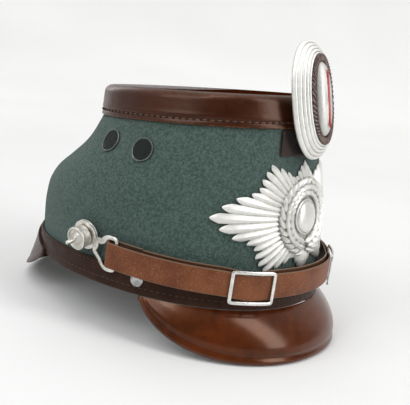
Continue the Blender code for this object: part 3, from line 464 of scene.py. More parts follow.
cap_places, cap_reach = even_angles(on_cap_stitch, CAP_STITCHES)
cap_thread = thread_material("cap thread", (0.170, 0.058, 0.019))
cap_stitches = stitch_row("cap_stitches", row_on(on_cap_stitch, cap_places, cap_reach), STITCH_LENGTH,
                          THREAD_WIDTH, cap_thread)
# Near-black capsules sunk between the stitches: painted shade in the awl holes.
stitch_hole_shade = finish_with(material_of("awl hole shade", 0.9), (0.006, 0.003, 0.002))
cap_hole_places = cap_places + (cap_places[1] - cap_places[0]) / 2
cap_holes = stitch_row("cap_stitch_holes", row_on(on_cap_stitch, cap_hole_places, cap_reach), HOLE_LENGTH,
                       HOLE_WIDTH, stitch_hole_shade, -HOLE_SINK)

# Base band
# A strip of dark brown leather round the foot of the felt, rounded over along its edges and sewn on with two rows
# of stitches. Handling has rubbed the finish along its bottom edge.
BAND_WALL = 0.0018
BAND_HEIGHT = 0.0165
BAND_PUCKER, BAND_GROOVE = 0.00012, 0.0003
BAND_STITCHES, BAND_STITCH_LENGTH, BAND_UPPER_ROW, BAND_LOWER_ROW = 150, 0.0028, 0.86, 0.30
BAND_BROWN = (0.009, 0.0045, 0.0036), (0.022, 0.0105, 0.0080), (0.052, 0.022, 0.014)
BAND_SHARE = BAND_HEIGHT / ((CROWN_FRONT_Z + CROWN_REAR_Z - FOOT_FRONT_Z - FOOT_REAR_Z) / 2)


def band_section(count):
    """Round the band's section: share of its height and share of its thickness, a box with rounded corners."""
    turn = np.linspace(0, 2 * np.pi, count, endpoint=False)
    up, out = np.sin(turn), np.cos(turn)
    return 0.5 + 0.5 * squared_off(up, 0.45), 0.5 + 0.5 * squared_off(out, 0.3)


band_up, band_out = band_section(72)
band_pucker = BAND_PUCKER * np.sin(AROUND * 37) * np.exp(-((band_up[:, None] - 0.82) / 0.12) ** 2)
band_groove = -BAND_GROOVE * np.exp(-((band_up - BAND_UPPER_ROW) / 0.05) ** 2) * (band_out > 0.6)
band_rows = wall(AROUND, (band_up * BAND_SHARE)[:, None],
                 GAP + BAND_WALL * band_out[:, None] + band_pucker + band_groove[:, None])
band_leather = lacquered_leather("band leather", BAND_BROWN, 0.05, 0.45, 0.40)
band_wear = 0.10 * np.exp(-(band_up / 0.10) ** 2) * (band_out > 0.3)
band = skin("foot_band", band_rows, band_leather, None, {"wear": band_wear[:, None]}, 60)
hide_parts("base_band")
band_thread = thread_material("band thread", (0.060, 0.024, 0.013))


def band_line(up):
    return lambda angle, lift: wall(angle, BAND_SHARE * up, GAP + BAND_WALL - BAND_GROOVE + lift)


for row_name, up in (("band_stitches_upper", BAND_UPPER_ROW), ("band_stitches_lower", BAND_LOWER_ROW)):
    places, reach = even_angles(band_line(up), BAND_STITCHES)
    row = stitch_row(row_name, row_on(band_line(up), places, reach), BAND_STITCH_LENGTH, THREAD_WIDTH, band_thread)

# Front and rear peaks
# Both are moulded from thick hard leather and sewn under the band. The front one is lacquered chestnut with a
# rolled bead along its edge, and it bows out before it falls; the rear one is dark and flares out over the neck.
PEAK_WALL, PEAK_SPREAD, PEAK_REACH, PEAK_BOW = 0.0022, 72.0, 0.0175, 1.8
PEAK_HORN = 0.0030
PEAK_ROOT = BAND_WALL
REAR_PEAK_WALL, REAR_PEAK_SPREAD, REAR_PEAK_REACH, REAR_PEAK_BOW = 0.0018, 57.0, 0.0118, -0.35
REAR_PEAK_COVER = (0.92, 0.25)
REAR_PEAK_ROOT = BAND_WALL + 2 * GAP + REAR_PEAK_WALL
PEAK_COLUMNS, PEAK_ROWS, PEAK_EDGE_ROWS, PEAK_BEAD, REAR_PEAK_BEAD = 181, 44, 6, 0.0013, 0.0003
BEAD_FROM_EDGE, BEAD_HALF, GROOVE_FROM_EDGE, GROOVE_HALF, GROOVE_DEPTH = 0.0026, 0.0020, 0.0066, 0.0014, 0.55
CHESTNUT = (0.026, 0.0047, 0.0006), (0.072, 0.0138, 0.0016), (0.122, 0.0285, 0.0048)
REAR_PEAK_BROWN = (0.011, 0.006, 0.005), (0.028, 0.014, 0.011), (0.05, 0.027, 0.019)
peak_steps = squared_off(np.linspace(-1, 1, PEAK_COLUMNS), 0.85)


def peak_surface(root, tip_z, reach, bow, thick, bead):
    """Sections from a root line to an edge: out = reach (u + bow u (1 - u)), fading as (1 - a^2)^0.9.

    A bead stands out along the edge below a groove, and the edge itself is a half round.
    """
    normal = np.stack([np.gradient(root[:, 1]), -np.gradient(root[:, 0])], -1)
    normal /= np.linalg.norm(normal, axis=1, keepdims=True)
    drop = (root[:, 2] - tip_z)[:, None]
    out = (reach * (1 - peak_steps**2) ** 0.9)[:, None]

    def face(u, inwards):
        """Rows of a section, each moved square to its bow by a distance inwards."""
        run_out, run_down = out * (1 + bow * (1 - 2 * u)), drop + 0 * u
        size = np.hypot(run_out, run_down)
        return out * (u + bow * u * (1 - u)) - run_down / size * inwards, drop * u + run_out / size * inwards

    u = np.linspace(0, 1, PEAK_ROWS)[None]
    u_back = u[:, ::-3]
    length = np.hypot(drop, out)
    from_edge = (1 - u) * length
    fade = np.clip(length / 0.02, 0, 1)
    bulge = bead * fade * (np.exp(-((from_edge - BEAD_FROM_EDGE) / BEAD_HALF) ** 2)
                           - GROOVE_DEPTH * np.exp(-((from_edge - GROOVE_FROM_EDGE) / GROOVE_HALF) ** 2))
    front_out, front_down = face(u, -bulge)
    back_out, back_down = face(u_back, thick)
    edge = np.linspace(0, np.pi, PEAK_EDGE_ROWS + 2)[None, 1:-1]
    tip_out, tip_down = front_out[:, -1:], front_down[:, -1:]
    end_out, end_down = back_out[:, :1], back_down[:, :1]
    middle_out, middle_down = (tip_out + end_out) / 2, (tip_down + end_down) / 2
    half_out, half_down = (tip_out - end_out) / 2, (tip_down - end_down) / 2
    round_out = middle_out + half_out * np.cos(edge) + 0.4 * half_down * np.sin(edge)
    round_down = middle_down + half_down * np.cos(edge) + 0.4 * np.abs(half_out) * np.sin(edge)
    loop_out = np.concatenate([front_out, round_out, back_out], 1)
    loop_down = np.clip(np.concatenate([front_down, round_down, back_down], 1), 0, drop)
    back_rows = u_back.shape[1]
    inside = np.concatenate([np.zeros(PEAK_ROWS), np.linspace(0, 1, PEAK_EDGE_ROWS), np.ones(back_rows)])
    wear = np.concatenate([np.exp(-((1 - u[0]) / 0.02) ** 2), np.ones(PEAK_EDGE_ROWS), np.zeros(back_rows)])
    points = np.stack([root[:, None, 0] + normal[:, :1] * loop_out,
                       root[:, None, 1] + normal[:, 1:] * loop_out,
                       root[:, None, 2] - loop_down], -1)
    return points, inside, wear


def peak_leather(name, tones, coat, rough):
    """Lacquered leather outside, bare and dark below, by the mark that is 1 on the under face."""
    leather = lacquered_leather(name, tones, coat, rough, 0.08)
    shader = leather.node_tree.nodes["Principled BSDF"]
    outside = shader.inputs["Base Color"].links[0].from_socket
    under = mark_of(leather, "inside")
    bare = blend_colour(leather, mottle(leather, 0.35, 0.65, 600, 4, 0.7), (0.035, 0.018, 0.012),
                        (0.075, 0.040, 0.026))
    plug(leather, blend_colour(leather, under, outside, bare), shader.inputs["Base Color"])
    plug(leather, between(leather, under, 0.0, 1.0, rough, 0.75), shader.inputs["Roughness"])
    return leather


x, y = oval(np.radians(peak_steps * PEAK_SPREAD), FOOT_FRONT_Y, FOOT_REAR_Y, FOOT_WIDTH / 2, PEAK_ROOT)
root = np.stack([x, y, foot_z(y) - GAP], -1)
tip = foot_z(y) * (1 - (1 - np.abs(peak_steps) ** 4) ** 0.7)
tip = np.minimum(tip, root[:, 2] - PEAK_HORN)
points, inside, wear = peak_surface(root, tip, PEAK_REACH, PEAK_BOW, PEAK_WALL, PEAK_BEAD)
chestnut = peak_leather("chestnut peak leather", CHESTNUT, 0.13, 0.22)
front_peak = skin("visor", points, chestnut, ends_of(points),
                  {"inside": inside[None], "wear": 0.12 * wear[None]}, 60)
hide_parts("front_peak")

root = wall(np.radians(180 + peak_steps * REAR_PEAK_SPREAD), BAND_SHARE * mix(*REAR_PEAK_COVER, peak_steps**2),
            REAR_PEAK_ROOT)
tip = foot_z(root[:, 1]) * (1 - (1 - peak_steps**2) ** 0.75)
points, inside, wear = peak_surface(root, tip, REAR_PEAK_REACH, REAR_PEAK_BOW, REAR_PEAK_WALL, REAR_PEAK_BEAD)
dark_peak = peak_leather("rear peak leather", REAR_PEAK_BROWN, 0.11, 0.38)
rear_peak = skin("neck_guard", points, dark_peak, ends_of(points),
                 {"inside": inside[None], "wear": 0.12 * wear[None]}, 60)
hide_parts("rear_peak")

# Chin strap
# Two layers of worn brown leather strap buckled up over the front of the peak. The outer one folds round the bar
# of each hook and comes back behind itself; the cut edges are burnished dark and the grain is rubbed to tan.
STRAP_WIDTH, STRAP_WALL, STRAP_OUT = 0.0175, 0.0016, 0.0080
STRAP_FRONT_Z, STRAP_CLIMB, STRAP_DIP, STRAP_RETURN = 0.0441, 0.020, 0.0022, 0.020
UNDER_STRAP_WALL, STRAP_LOOP, STRAP_LAYER_RAISE = 0.0014, 0.0045, 0.0020
BUCKLE_WIDTH, BUCKLE_BAR, BUCKLE_THICK, BUCKLE_PLACE, BUCKLE_BACK_BAR = 0.0325, 0.0024, 0.0015, 0.0552, 0.0010
POST_ANGLE, POST_Z, POST_TILT = 92.3, 0.0638, 13.0
HOOK_REACH, HOOK_WIRE, HOOK_WIRE_DEPTH = 0.0254, 0.0014, 0.0008
STRAP_SIDES, STRAP_ROWS, UNDER_STRAP_ROWS = 48, 131, 201
belt_angle = np.radians(np.linspace(-180, 180, RUN_STEPS))
belt_x, belt_y = oval(belt_angle, FOOT_FRONT_Y, FOOT_REAR_Y, FOOT_WIDTH / 2, STRAP_OUT)
belt_run = np.concatenate([[0], np.cumsum(np.hypot(np.diff(belt_x), np.diff(belt_y)))])
belt_run -= belt_run[len(belt_run) // 2]


def belt(along, z, out):
    """A place at a distance along the foot's oval from the front's middle, and at a distance out of it."""
    x, y = oval(np.interp(along, belt_run, belt_angle), FOOT_FRONT_Y, FOOT_REAR_Y, FOOT_WIDTH / 2, out)
    return np.stack(np.broadcast_arrays(x, y, z), -1)


def strap_z(along):
    """Height of the strap's lower edge: it climbs towards the rear and dips through each buckle."""
    dip = STRAP_DIP * np.exp(-((np.abs(along) - BUCKLE_PLACE) / 0.014) ** 2)
    return STRAP_FRONT_Z + STRAP_CLIMB * (belt(along, 0.0, 0.0)[..., 1] - FOOT_FRONT_Y) - dip


POST_ALONG = np.interp(np.radians(POST_ANGLE), belt_angle, belt_run)
BAR_ALONG = POST_ALONG - HOOK_REACH
FOLD_RADIUS = HOOK_WIRE_DEPTH + GAP + STRAP_WALL / 2
FOLD_ALONG = BAR_ALONG + HOOK_WIRE - HOOK_WIRE_DEPTH + STRAP_LOOP
STRAP_MIDDLE = STRAP_OUT - STRAP_WALL / 2
BAR_OUT = STRAP_MIDDLE - FOLD_RADIUS


def worn_strap_leather():
    """Mid-brown leather whose grain is rubbed to tan in specks, with burnished edges by the edge mark and painted
    shade on the layer behind by the under mark.
    """
    leather = material_of("strap leather", 0.55, coat=0.08, coat_roughness=0.3, specular=0.15)
    cloud = mottle(leather, 0.30, 0.70, 55, 4, 0.6)
    colour = blend_colour(leather, cloud, (0.105, 0.030, 0.0120), (0.185, 0.062, 0.0240))
    rub = mottle(leather, 0.52, 0.66, 900, 5, 0.75)
    rub_area = between(leather, speckle(leather, 90, 3, 0.6), 0.38, 0.62, 0.15, 1.0)
    colour = blend_colour(leather, combine(leather, "MULTIPLY", rub, rub_area), colour, (0.32, 0.150, 0.068))
    scratch = mottle(leather, 0.64, 0.70, 700, 3, 0.6, (1, 1, 0.25))
    colour = blend_colour(leather, combine(leather, "MULTIPLY", scratch, 0.35), colour, (0.020, 0.009, 0.005))
    # Painted shade: the inner strap and the outer strap's returned ends, which lie behind, are darkened by the
    # under mark.
    under = combine(leather, "MULTIPLY", mark_of(leather, "under"), 0.85)
    colour = blend_colour(leather, under, colour, (0.026, 0.015, 0.009))
    colour = blend_colour(leather, mark_of(leather, "edge"), colour, (0.150, 0.095, 0.060))
    height = combine(leather, "ADD", speckle(leather, 1500, 3, 0.6), combine(leather, "MULTIPLY", rub, -0.3))
    rough = between(leather, rub, 0.0, 1.0, 0.45, 0.70)
    return finish_with(leather, colour, rough, height, 0.30, 0.0003)


def strap_skin(name, path, thick):
    """A section with rounded and creased edges, carried along a path of along and out columns."""
    run = np.gradient(path, axis=0)
    run /= np.linalg.norm(run, axis=1, keepdims=True)
    side = np.stack([-run[:, 1], run[:, 0]], -1)
    turn = np.linspace(0, 2 * np.pi, STRAP_SIDES, endpoint=False)
    up = 0.5 + 0.5 * squared_off(np.sin(turn), 0.30)
    off = 0.5 * squared_off(np.cos(turn), 0.42)
    crease = 0.10 * (np.exp(-((up - 0.09) / 0.022) ** 2) + np.exp(-((up - 0.91) / 0.022) ** 2))
    off = off - np.sign(off) * crease
    at = path[:, None] + side[:, None] * (thick * off)[None, :, None]
    # inner is 1 on the layer behind the outer strap: it raises that layer and, as the under mark, paints shade on
    # it.
    inner = np.clip((STRAP_MIDDLE - path[:, 1]) / (2 * FOLD_RADIUS), 0, 1)
    level = (strap_z(path[:, 0]) + STRAP_LAYER_RAISE * inner)[:, None] + STRAP_WIDTH * up[None]
    rings = belt(at[..., 0], level, at[..., 1])
    edge = np.clip(np.exp(-(up / 0.03) ** 2) + np.exp(-((1 - up) / 0.03) ** 2), 0, 1)
    return skin(name, rings, strap_leather, ends_of(rings), {"edge": edge[None], "under": inner[:, None]}, 60)


strap_leather = worn_strap_leather()
turn = np.radians(np.linspace(90, -90, 15))
fold = np.stack([FOLD_ALONG + FOLD_RADIUS * np.cos(turn), BAR_OUT + FOLD_RADIUS * np.sin(turn)], -1)
back = np.linspace(BAR_ALONG, BAR_ALONG - STRAP_RETURN, 12)[1:]
back = np.stack([back, np.full(len(back), BAR_OUT - FOLD_RADIUS)], -1)
front = np.linspace(0, BAR_ALONG, STRAP_ROWS)[:-1]
front = np.stack([front, np.full(len(front), STRAP_MIDDLE)], -1)
half = np.concatenate([front, fold, back])
path = np.concatenate([half[:0:-1] * (-1, 1), half])
outer_strap = strap_skin("strap_outer", path, STRAP_WALL)
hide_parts("chin_strap_outer")
end = BAR_ALONG - STRAP_RETURN - 3 * GAP
under_out = STRAP_OUT - STRAP_WALL - 2 * GAP - BUCKLE_BACK_BAR - UNDER_STRAP_WALL / 2
path = np.stack([np.linspace(-end, end, UNDER_STRAP_ROWS), np.full(UNDER_STRAP_ROWS, under_out)], -1)
inner_strap = strap_skin("strap_inner", path, UNDER_STRAP_WALL)
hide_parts("chin_strap_inner")

# Side posts, hooks, buckles and rivets
# Cast and stamped aluminium. Each post is a turned knob on a round flange, riveted through the felt; the flat ring
# of a hook hangs on its neck, and the strap folds round the hook's bar. Plain buckles slide on the strap.
POST_FLANGE_RADIUS, POST_FLANGE_THICK = 0.0104, 0.0013
POST_NECK_RADIUS, POST_DRUM_RADIUS, POST_DRUM_LENGTH = 0.0045, 0.0082, 0.0082
POST_SHANK_RADIUS, POST_FACE_DEPTH, POST_RIM = 0.0025, 0.0012, 0.0012
POST_SCREW_RADIUS, POST_PIN_RADIUS, POST_PIN_LENGTH = 0.0048, 0.0013, 0.0094
HOOK_PLATE, HOOK_RING_RADIUS, HOOK_RING_HOLE = 0.0012, 0.0104, 0.0068
RIVET_RADIUS, RIVET_DOME, RIVET_ANGLE, RIVET_Z, RIVET_EDGE = 0.0048, 0.0014, 72.3, 0.0424, 0.0002
HOOK_BAR_RUN, HOOK_WEB, HOOK_WEB_REACH, HOOK_WEB_DROP = 0.006, 0.55, 0.006, 0.003
BUCKLE_CORNER, BUCKLE_BAR_HALF, BUCKLE_BAR_DEPTH, BUCKLE_BAR_SLACK = 22, 0.0014, 0.00045, 0.0005
BUCKLE_RUN = 0.01


def satin_metal(name, colour, dark, roughness, grit=1.0):
    """Cast or stamped metal: dull grey in the hollows of the noise, fine sand grain and small scratches."""
    metal = material_of(name, roughness, metallic=1.0)
    cloud = mottle(metal, 0.32, 0.68, 260, 4, 0.65)
    tone = blend_colour(metal, cloud, dark, colour)
    grain = speckle(metal, 3200, 3, 0.7)
    scratch = speckle(metal, 1400, 2, 0.5, (0.2, 1, 1))
    rough = between(metal, scratch, 0.35, 0.70, roughness * 0.8, roughness * 1.3)
    return finish_with(metal, tone, rough, grain, 0.25 * grit, 0.0002)


def rounded_profile(profile, radius=0.00025, steps=4):
    """Replaces each inner corner of a list of (radius, height) by a short curve close to it."""
    profile = np.asarray(profile, float)
    smooth = [profile[0]]
    for before, corner, after in zip(profile, profile[1:], profile[2:]):
        first, last = before - corner, after - corner
        first *= min(radius / np.hypot(*first), 0.45)
        last *= min(radius / np.hypot(*last), 0.45)
        t = np.linspace(0, 1, steps)[:, None]
        smooth += list(corner + first * (1 - t) ** 2 + last * t**2)
    return np.array(smooth + [profile[-1]])


def lathe(name, profile, place, axis, material, sides=64, sharp=40):
    """A profile of (radius, height) turned about an axis through a place."""
    axis = np.asarray(axis, float) / np.linalg.norm(axis)
    level = np.cross((0, 0, 1), axis)
    level /= np.linalg.norm(level)
    up = np.cross(axis, level)
    spin = np.radians(np.arange(sides) * 360 / sides)
    circle = np.outer(np.cos(spin), level) + np.outer(np.sin(spin), up)
    profile = np.asarray(profile)
    rings = place + profile[1:-1, 0, None, None] * circle + profile[1:-1, 1, None, None] * axis
    poles = (place + profile[0, 1] * axis, place + profile[-1, 1] * axis)
    return skin(name, rings, material, poles, None, sharp)


def outward(side, angle, tilt):
    """The level outward direction of the foot's oval at an angle, turned down by tilt degrees."""
    x, y = oval(np.radians(np.array([-0.5, 0.5]) + angle), FOOT_FRONT_Y, FOOT_REAR_Y, FOOT_WIDTH / 2)
    flat = np.array([y[1] - y[0], -(x[1] - x[0])])
    flat *= np.sign(flat[0]) / np.linalg.norm(flat)
    down = np.radians(tilt)
    return np.array([side * flat[0] * np.cos(down), flat[1] * np.cos(down), -np.sin(down)])


post_y = belt(POST_ALONG, 0.0, 0.0)[1]
POST_SHARE = (POST_Z - foot_z(post_y)) / (crown_z(post_y) - foot_z(post_y))
FLANGE_LIFT = GAP + POST_FLANGE_RADIUS * np.sin(np.radians(POST_TILT)) + 2 * GAP
PLATE_LIFT = FLANGE_LIFT + POST_FLANGE_THICK + GAP


def post_place(side):
    return wall(np.radians(POST_ANGLE), POST_SHARE) * (side, 1, 1)


def post_profile():
    flange_top = FLANGE_LIFT + POST_FLANGE_THICK
    drum = PLATE_LIFT + HOOK_PLATE + GAP
    face = drum + POST_DRUM_LENGTH
    floor = face - POST_FACE_DEPTH
    shank = GAP + POST_SHANK_RADIUS * np.sin(np.radians(POST_TILT)) + GAP
    wide, screw = POST_DRUM_RADIUS, POST_SCREW_RADIUS
    return rounded_profile([
        (0, shank), (POST_SHANK_RADIUS, shank), (POST_SHANK_RADIUS, FLANGE_LIFT),
        (POST_FLANGE_RADIUS, FLANGE_LIFT), (POST_FLANGE_RADIUS, flange_top - 0.0004),
        (POST_FLANGE_RADIUS - 0.0012, flange_top), (POST_NECK_RADIUS, flange_top), (POST_NECK_RADIUS, drum),
        (wide * 0.90, drum), (wide * 0.93, mix(drum, face, 0.12)), (wide * 0.93, mix(drum, face, 0.70)),
        (wide, mix(drum, face, 0.76)), (wide, face - 0.0004),
        (wide - 0.0004, face), (wide - POST_RIM, face), (wide - POST_RIM - 0.0003, floor),
        (screw, floor), (screw * 0.8, floor + screw * 0.16), (screw * 0.5, floor + screw * 0.34),
        (POST_PIN_RADIUS * 1.3, floor + screw * 0.46), (POST_PIN_RADIUS, floor + screw * 0.60),
        (POST_PIN_RADIUS, floor + POST_PIN_LENGTH - 0.0005), (POST_PIN_RADIUS * 0.6, floor + POST_PIN_LENGTH),
        (0, floor + POST_PIN_LENGTH),
    ])


def hook_point(side, ahead, up, out):
    """A place on the hook: square to the post near its ring, and following the strap near its bar."""
    axis = outward(side, POST_ANGLE, POST_TILT)
    level = np.cross((0, 0, side), axis)
    level /= np.linalg.norm(level)
    rise = np.cross(axis, level) * side
    ahead, up, out = np.broadcast_arrays(*(np.asarray(v, float) for v in (ahead, up, out)))
    flat = post_place(side) + np.multiply.outer(-ahead, level) + np.multiply.outer(up, rise)
    flat = flat + np.multiply.outer(PLATE_LIFT + HOOK_PLATE / 2 + out, axis)
    bent = belt(side * (POST_ALONG - ahead), POST_Z + up, BAR_OUT + out)
    share = np.clip((ahead - HOOK_RING_RADIUS) / (HOOK_REACH - HOOK_BAR_RUN - HOOK_RING_RADIUS), 0, 1)
    return mix(flat, bent, (share * share * (3 - 2 * share))[..., None])


def smooth_loop(corners, rounds=3):
    """Cuts the corners of a loop of points again and again, each new pair a quarter of the way in."""
    points = np.asarray(corners, float)
    for _ in range(rounds):
        after = np.roll(points, -1, 0)
        pairs = np.stack([mix(points, after, 0.25), mix(points, after, 0.75)], 1)
        points = pairs.reshape(-1, points.shape[1])
    return points


def hook_outline():
    reach = HOOK_REACH
    middle = strap_z(np.array(BAR_ALONG)) + STRAP_WIDTH / 2 - POST_Z
    top = middle + STRAP_WIDTH / 2 + GAP + HOOK_WIRE * 2
    foot = middle - STRAP_WIDTH / 2 - GAP - HOOK_WIRE
    wire, wide = HOOK_WIRE, HOOK_RING_RADIUS
    return [
        (wide * 1.04, wide * -0.06), (wide * 1.23, 0.0), (wide * 1.44, top - wire * 3.0),
        (reach - wire * 6.1, top), (reach - wire * 3.0, top), (reach - wire * 0.9, top),
        (reach, top - wire), (reach, top - wire * 2.6), (reach, middle + wire * 2.4), (reach, middle),
        (reach, middle - wire * 2.4), (reach, foot + wire * 1.6),
        (reach - wire * 0.6, foot), (reach - wire * 6.1, foot), (reach - wire * 8.0, foot + wire * 1.7),
        (wide * 1.21, wide * -1.33), (wide * 0.75, wide * -0.885), (wide, wide * -0.54),
    ]


def tube(points, radius, depth, sides=14):
    """Squared sections set across a closed run of flat points, with a half width for each point or all."""
    run = np.roll(points, -1, 0) - np.roll(points, 1, 0)
    run /= np.linalg.norm(run, axis=1, keepdims=True)
    side = np.stack([run[:, 1], -run[:, 0]], -1)
    spin = np.radians(np.arange(sides) * 360 / sides)
    width = np.broadcast_to(radius, len(points))[:, None] * squared_off(np.cos(spin), 0.6)
    flat = points[:, None] + width[..., None] * side[:, None]
    return flat[..., 0], flat[..., 1], depth * squared_off(np.sin(spin), 0.6)[None] + 0 * flat[..., 0]


post_metal = satin_metal("post metal", (0.74, 0.72, 0.665), (0.42, 0.40, 0.36), 0.42)
hook_metal = satin_metal("hook metal", (0.76, 0.74, 0.69), (0.46, 0.445, 0.41), 0.36)
rivet_metal = satin_metal("rivet metal", (0.50, 0.50, 0.49), (0.22, 0.22, 0.21), 0.22, 0.4)
buckle_run = belt(BUCKLE_PLACE + BUCKLE_RUN, 0.0, 0.0) - belt(BUCKLE_PLACE - BUCKLE_RUN, 0.0, 0.0)
BUCKLE_SLOPE = buckle_run[1] / (2 * BUCKLE_RUN) * STRAP_CLIMB
buckle_metal = satin_metal("buckle metal", (0.80, 0.79, 0.76), (0.58, 0.57, 0.54), 0.30)
for side, label in ((-1, "right"), (1, "left")):
    axis = outward(side, POST_ANGLE, POST_TILT)
    post = lathe("post_" + label, post_profile(), post_place(side), axis, post_metal)
    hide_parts("side_post_" + label)

    spin = np.radians(np.arange(72) * 5)
    half = HOOK_PLATE / 2
    section = rounded_profile([(HOOK_RING_HOLE, 0), (HOOK_RING_HOLE, -half), (HOOK_RING_RADIUS, -half),
                               (HOOK_RING_RADIUS, half), (HOOK_RING_HOLE, half), (HOOK_RING_HOLE, 0.0001)])
    rings = hook_point(side, section[:, :1] * np.cos(spin), section[:, :1] * np.sin(spin), section[:, 1:])
    hook_ring = skin("hook_ring_" + label, rings, hook_metal)
    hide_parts("strap_hook_" + label)
    outline = smooth_loop(hook_outline())
    from_web = np.hypot(outline[:, 0] - HOOK_RING_RADIUS * 1.1, outline[:, 1] + HOOK_WEB_DROP)
    web = np.exp(-(from_web / HOOK_WEB_REACH) ** 2)
    ahead, up, out = tube(outline, HOOK_WIRE * (1 + HOOK_WEB * web), HOOK_WIRE_DEPTH)
    hook_frame = skin("hook_frame_" + label, hook_point(side, ahead, up, out), hook_metal)
    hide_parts("strap_hook_" + label)

    window = STRAP_WIDTH / 2 + 2 * GAP
    high, wide = window + BUCKLE_BAR / 2, BUCKLE_WIDTH / 2 - BUCKLE_BAR / 2
    turn = np.linspace(0, 2 * np.pi, 160, endpoint=False)
    box_form = np.abs(np.cos(turn)) ** BUCKLE_CORNER + np.abs(np.sin(turn)) ** BUCKLE_CORNER
    box_form = box_form ** (-1 / BUCKLE_CORNER)
    loop = np.stack([wide * np.cos(turn), high * np.sin(turn)], -1) * box_form[:, None]
    across, up, out = tube(loop, BUCKLE_BAR / 2, BUCKLE_THICK / 2)
    level = strap_z(side * BUCKLE_PLACE) + STRAP_WIDTH / 2 + STRAP_DIP * 0.25
    rings = belt(side * BUCKLE_PLACE + across, level + side * BUCKLE_SLOPE * across + up,
                 STRAP_OUT + GAP + BUCKLE_THICK / 2 + out)
    buckle = skin("buckle_" + label, rings, buckle_metal)
    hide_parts("strap_buckle_" + label)
    bar_up = np.linspace(-high, high, 24)[:, None]
    spin = np.radians(np.arange(12) * 30)[None]
    set_back = STRAP_WALL + BUCKLE_THICK + GAP * 2 + BUCKLE_BAR_SLACK
    bow = (STRAP_OUT + BUCKLE_THICK) - set_back * (1 - (np.abs(bar_up) / high) ** 12)
    along = side * BUCKLE_PLACE + BUCKLE_BAR_HALF * np.cos(spin) + 0 * bar_up
    rings = belt(along, level + bar_up, bow + BUCKLE_BAR_DEPTH * np.sin(spin))
    bar = skin("buckle_bar_" + label, rings, buckle_metal, ends_of(rings))
    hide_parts("strap_buckle_" + label)

    at = np.radians(RIVET_ANGLE)
    rivet_y = wall(at, 0.1)[1]
    share = (RIVET_Z - foot_z(rivet_y)) / (crown_z(rivet_y) - foot_z(rivet_y))
    seat = 2 * GAP + BAND_WALL
    rise = np.radians(np.linspace(0, 90, 12)[:-1])
    dome = [(RIVET_RADIUS * np.cos(a), seat + RIVET_EDGE + RIVET_DOME * np.sin(a)) for a in rise]
    rivet = lathe("rivet_" + label, [(0, seat), (RIVET_RADIUS, seat), *dome, (0, seat + RIVET_EDGE + RIVET_DOME)],
                  wall(at, share) * (side, 1, 1), outward(side, RIVET_ANGLE, 0.0), rivet_metal, 32)
    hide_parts("peak_rivet_" + label)

# Vents
# Four round air vents let into the sides of the felt under the cap: a thin blackened rim, clinched through the
# felt, round a disc of black woven wire mesh. They bend with the wall.
VENT_RADIUS, VENT_RIM = 0.0086, 0.0012
VENT_PLACES = {"front": (85.8, 0.833), "rear": (105.6, 0.857)}
VENT_WIRES, VENT_WIRE, VENT_WEAVE, VENT_MESH_LIFT = 15, 0.00022, 0.00020, 0.00075
VENT_RIM_DEPTH, VENT_SHADOW_THICK = 0.0006, 0.0002


def on_wall(across, up, lift, angle, share):
    """Places on the felt round a point of it: level across it, square up it, and off it by lift."""
    place = np.radians(angle)
    fine = np.radians(np.linspace(-180, 180, 1441))
    path = wall(fine, share)
    length = np.concatenate([[0], np.cumsum(np.linalg.norm(np.diff(path, axis=0), axis=1))])
    level = wall(place + 0.01, share) - wall(place - 0.01, share)
    level /= np.linalg.norm(level)
    rise = (wall(place, share + 0.02) - wall(place, share - 0.02)) / 0.04
    lean = rise @ level
    height = np.sqrt(rise @ rise - lean**2)
    along = np.interp(place, fine, length) + across - up * lean / height
    return wall(np.interp(along, length, fine), share + up / height, lift)


def vent_wires(at):
    """Two sets of wires that cross at right angles, each rising over one and under the next as a sine."""
    hole = VENT_RADIUS - VENT_RIM
    pitch = 2 * hole / VENT_WIRES
    place = (np.arange(VENT_WIRES) - (VENT_WIRES - 1) / 2) * pitch
    reach = np.sqrt(hole**2 - place**2)
    steps = np.linspace(-1, 1, 4 * VENT_WIRES + 1)
    spin = np.radians(np.arange(6) * 60)
    run = reach[:, None, None] * steps[None, :, None] + 0 * spin
    side = place[:, None, None] + VENT_WIRE * np.cos(spin) + 0 * run
    phase = np.cos(np.pi * run / pitch + np.pi * np.arange(VENT_WIRES)[:, None, None])
    first = at(run, side, VENT_MESH_LIFT + VENT_WIRE * np.sin(spin) + VENT_WEAVE * phase)
    second = at(side, run, VENT_MESH_LIFT + VENT_WIRE * np.sin(spin) - VENT_WEAVE * phase)
    return np.concatenate([first, second])


vent_black = finish_with(material_of("vent mesh", 0.45, metallic=0.7), (0.035, 0.042, 0.040))
vent_rim_metal = satin_metal("vent rim", (0.16, 0.175, 0.165), (0.06, 0.07, 0.066), 0.45)
vent_shadow = finish_with(material_of("vent hole shadow", 0.9), (0.004, 0.005, 0.005))
for side, label in ((-1, "right"), (1, "left")):
    for spot, (angle, share) in VENT_PLACES.items():
        node = "vent_" + label + "_" + spot

        def at(across, up, lift):
            return on_wall(across, up, lift, side * angle, share)

        spin = np.radians(np.arange(72) * 5)
        turn = np.radians(np.arange(20) * 18)[:, None]
        radius = VENT_RADIUS - VENT_RIM / 2 + VENT_RIM / 2 * np.cos(turn)
        lift = GAP + VENT_RIM_DEPTH + VENT_RIM_DEPTH * np.sin(turn)
        rings = at(radius * np.sin(spin), radius * np.cos(spin), lift)
        rim = skin("rim_" + node, rings, vent_rim_metal)
        # A near-black disc on the felt under the mesh: painted shadow of the vent's hole.
        radius = (VENT_RADIUS - VENT_RIM / 2) * np.array([0.25, 0.5, 0.75, 1, 1, 0.75, 0.5, 0.25])[:, None]
        lift = GAP + VENT_SHADOW_THICK * np.array([0, 0, 0, 0, 1, 1, 1, 1])[:, None]
        rings = at(radius * np.sin(spin), radius * np.cos(spin), lift)
        disc = skin("back_" + node, rings, vent_shadow, (at(0, 0, GAP), at(0, 0, GAP + VENT_SHADOW_THICK)))
        mesh = many_bodies("wires_" + node, vent_wires(at), vent_black)
        for piece in (rim, disc, mesh):
            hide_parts(node)

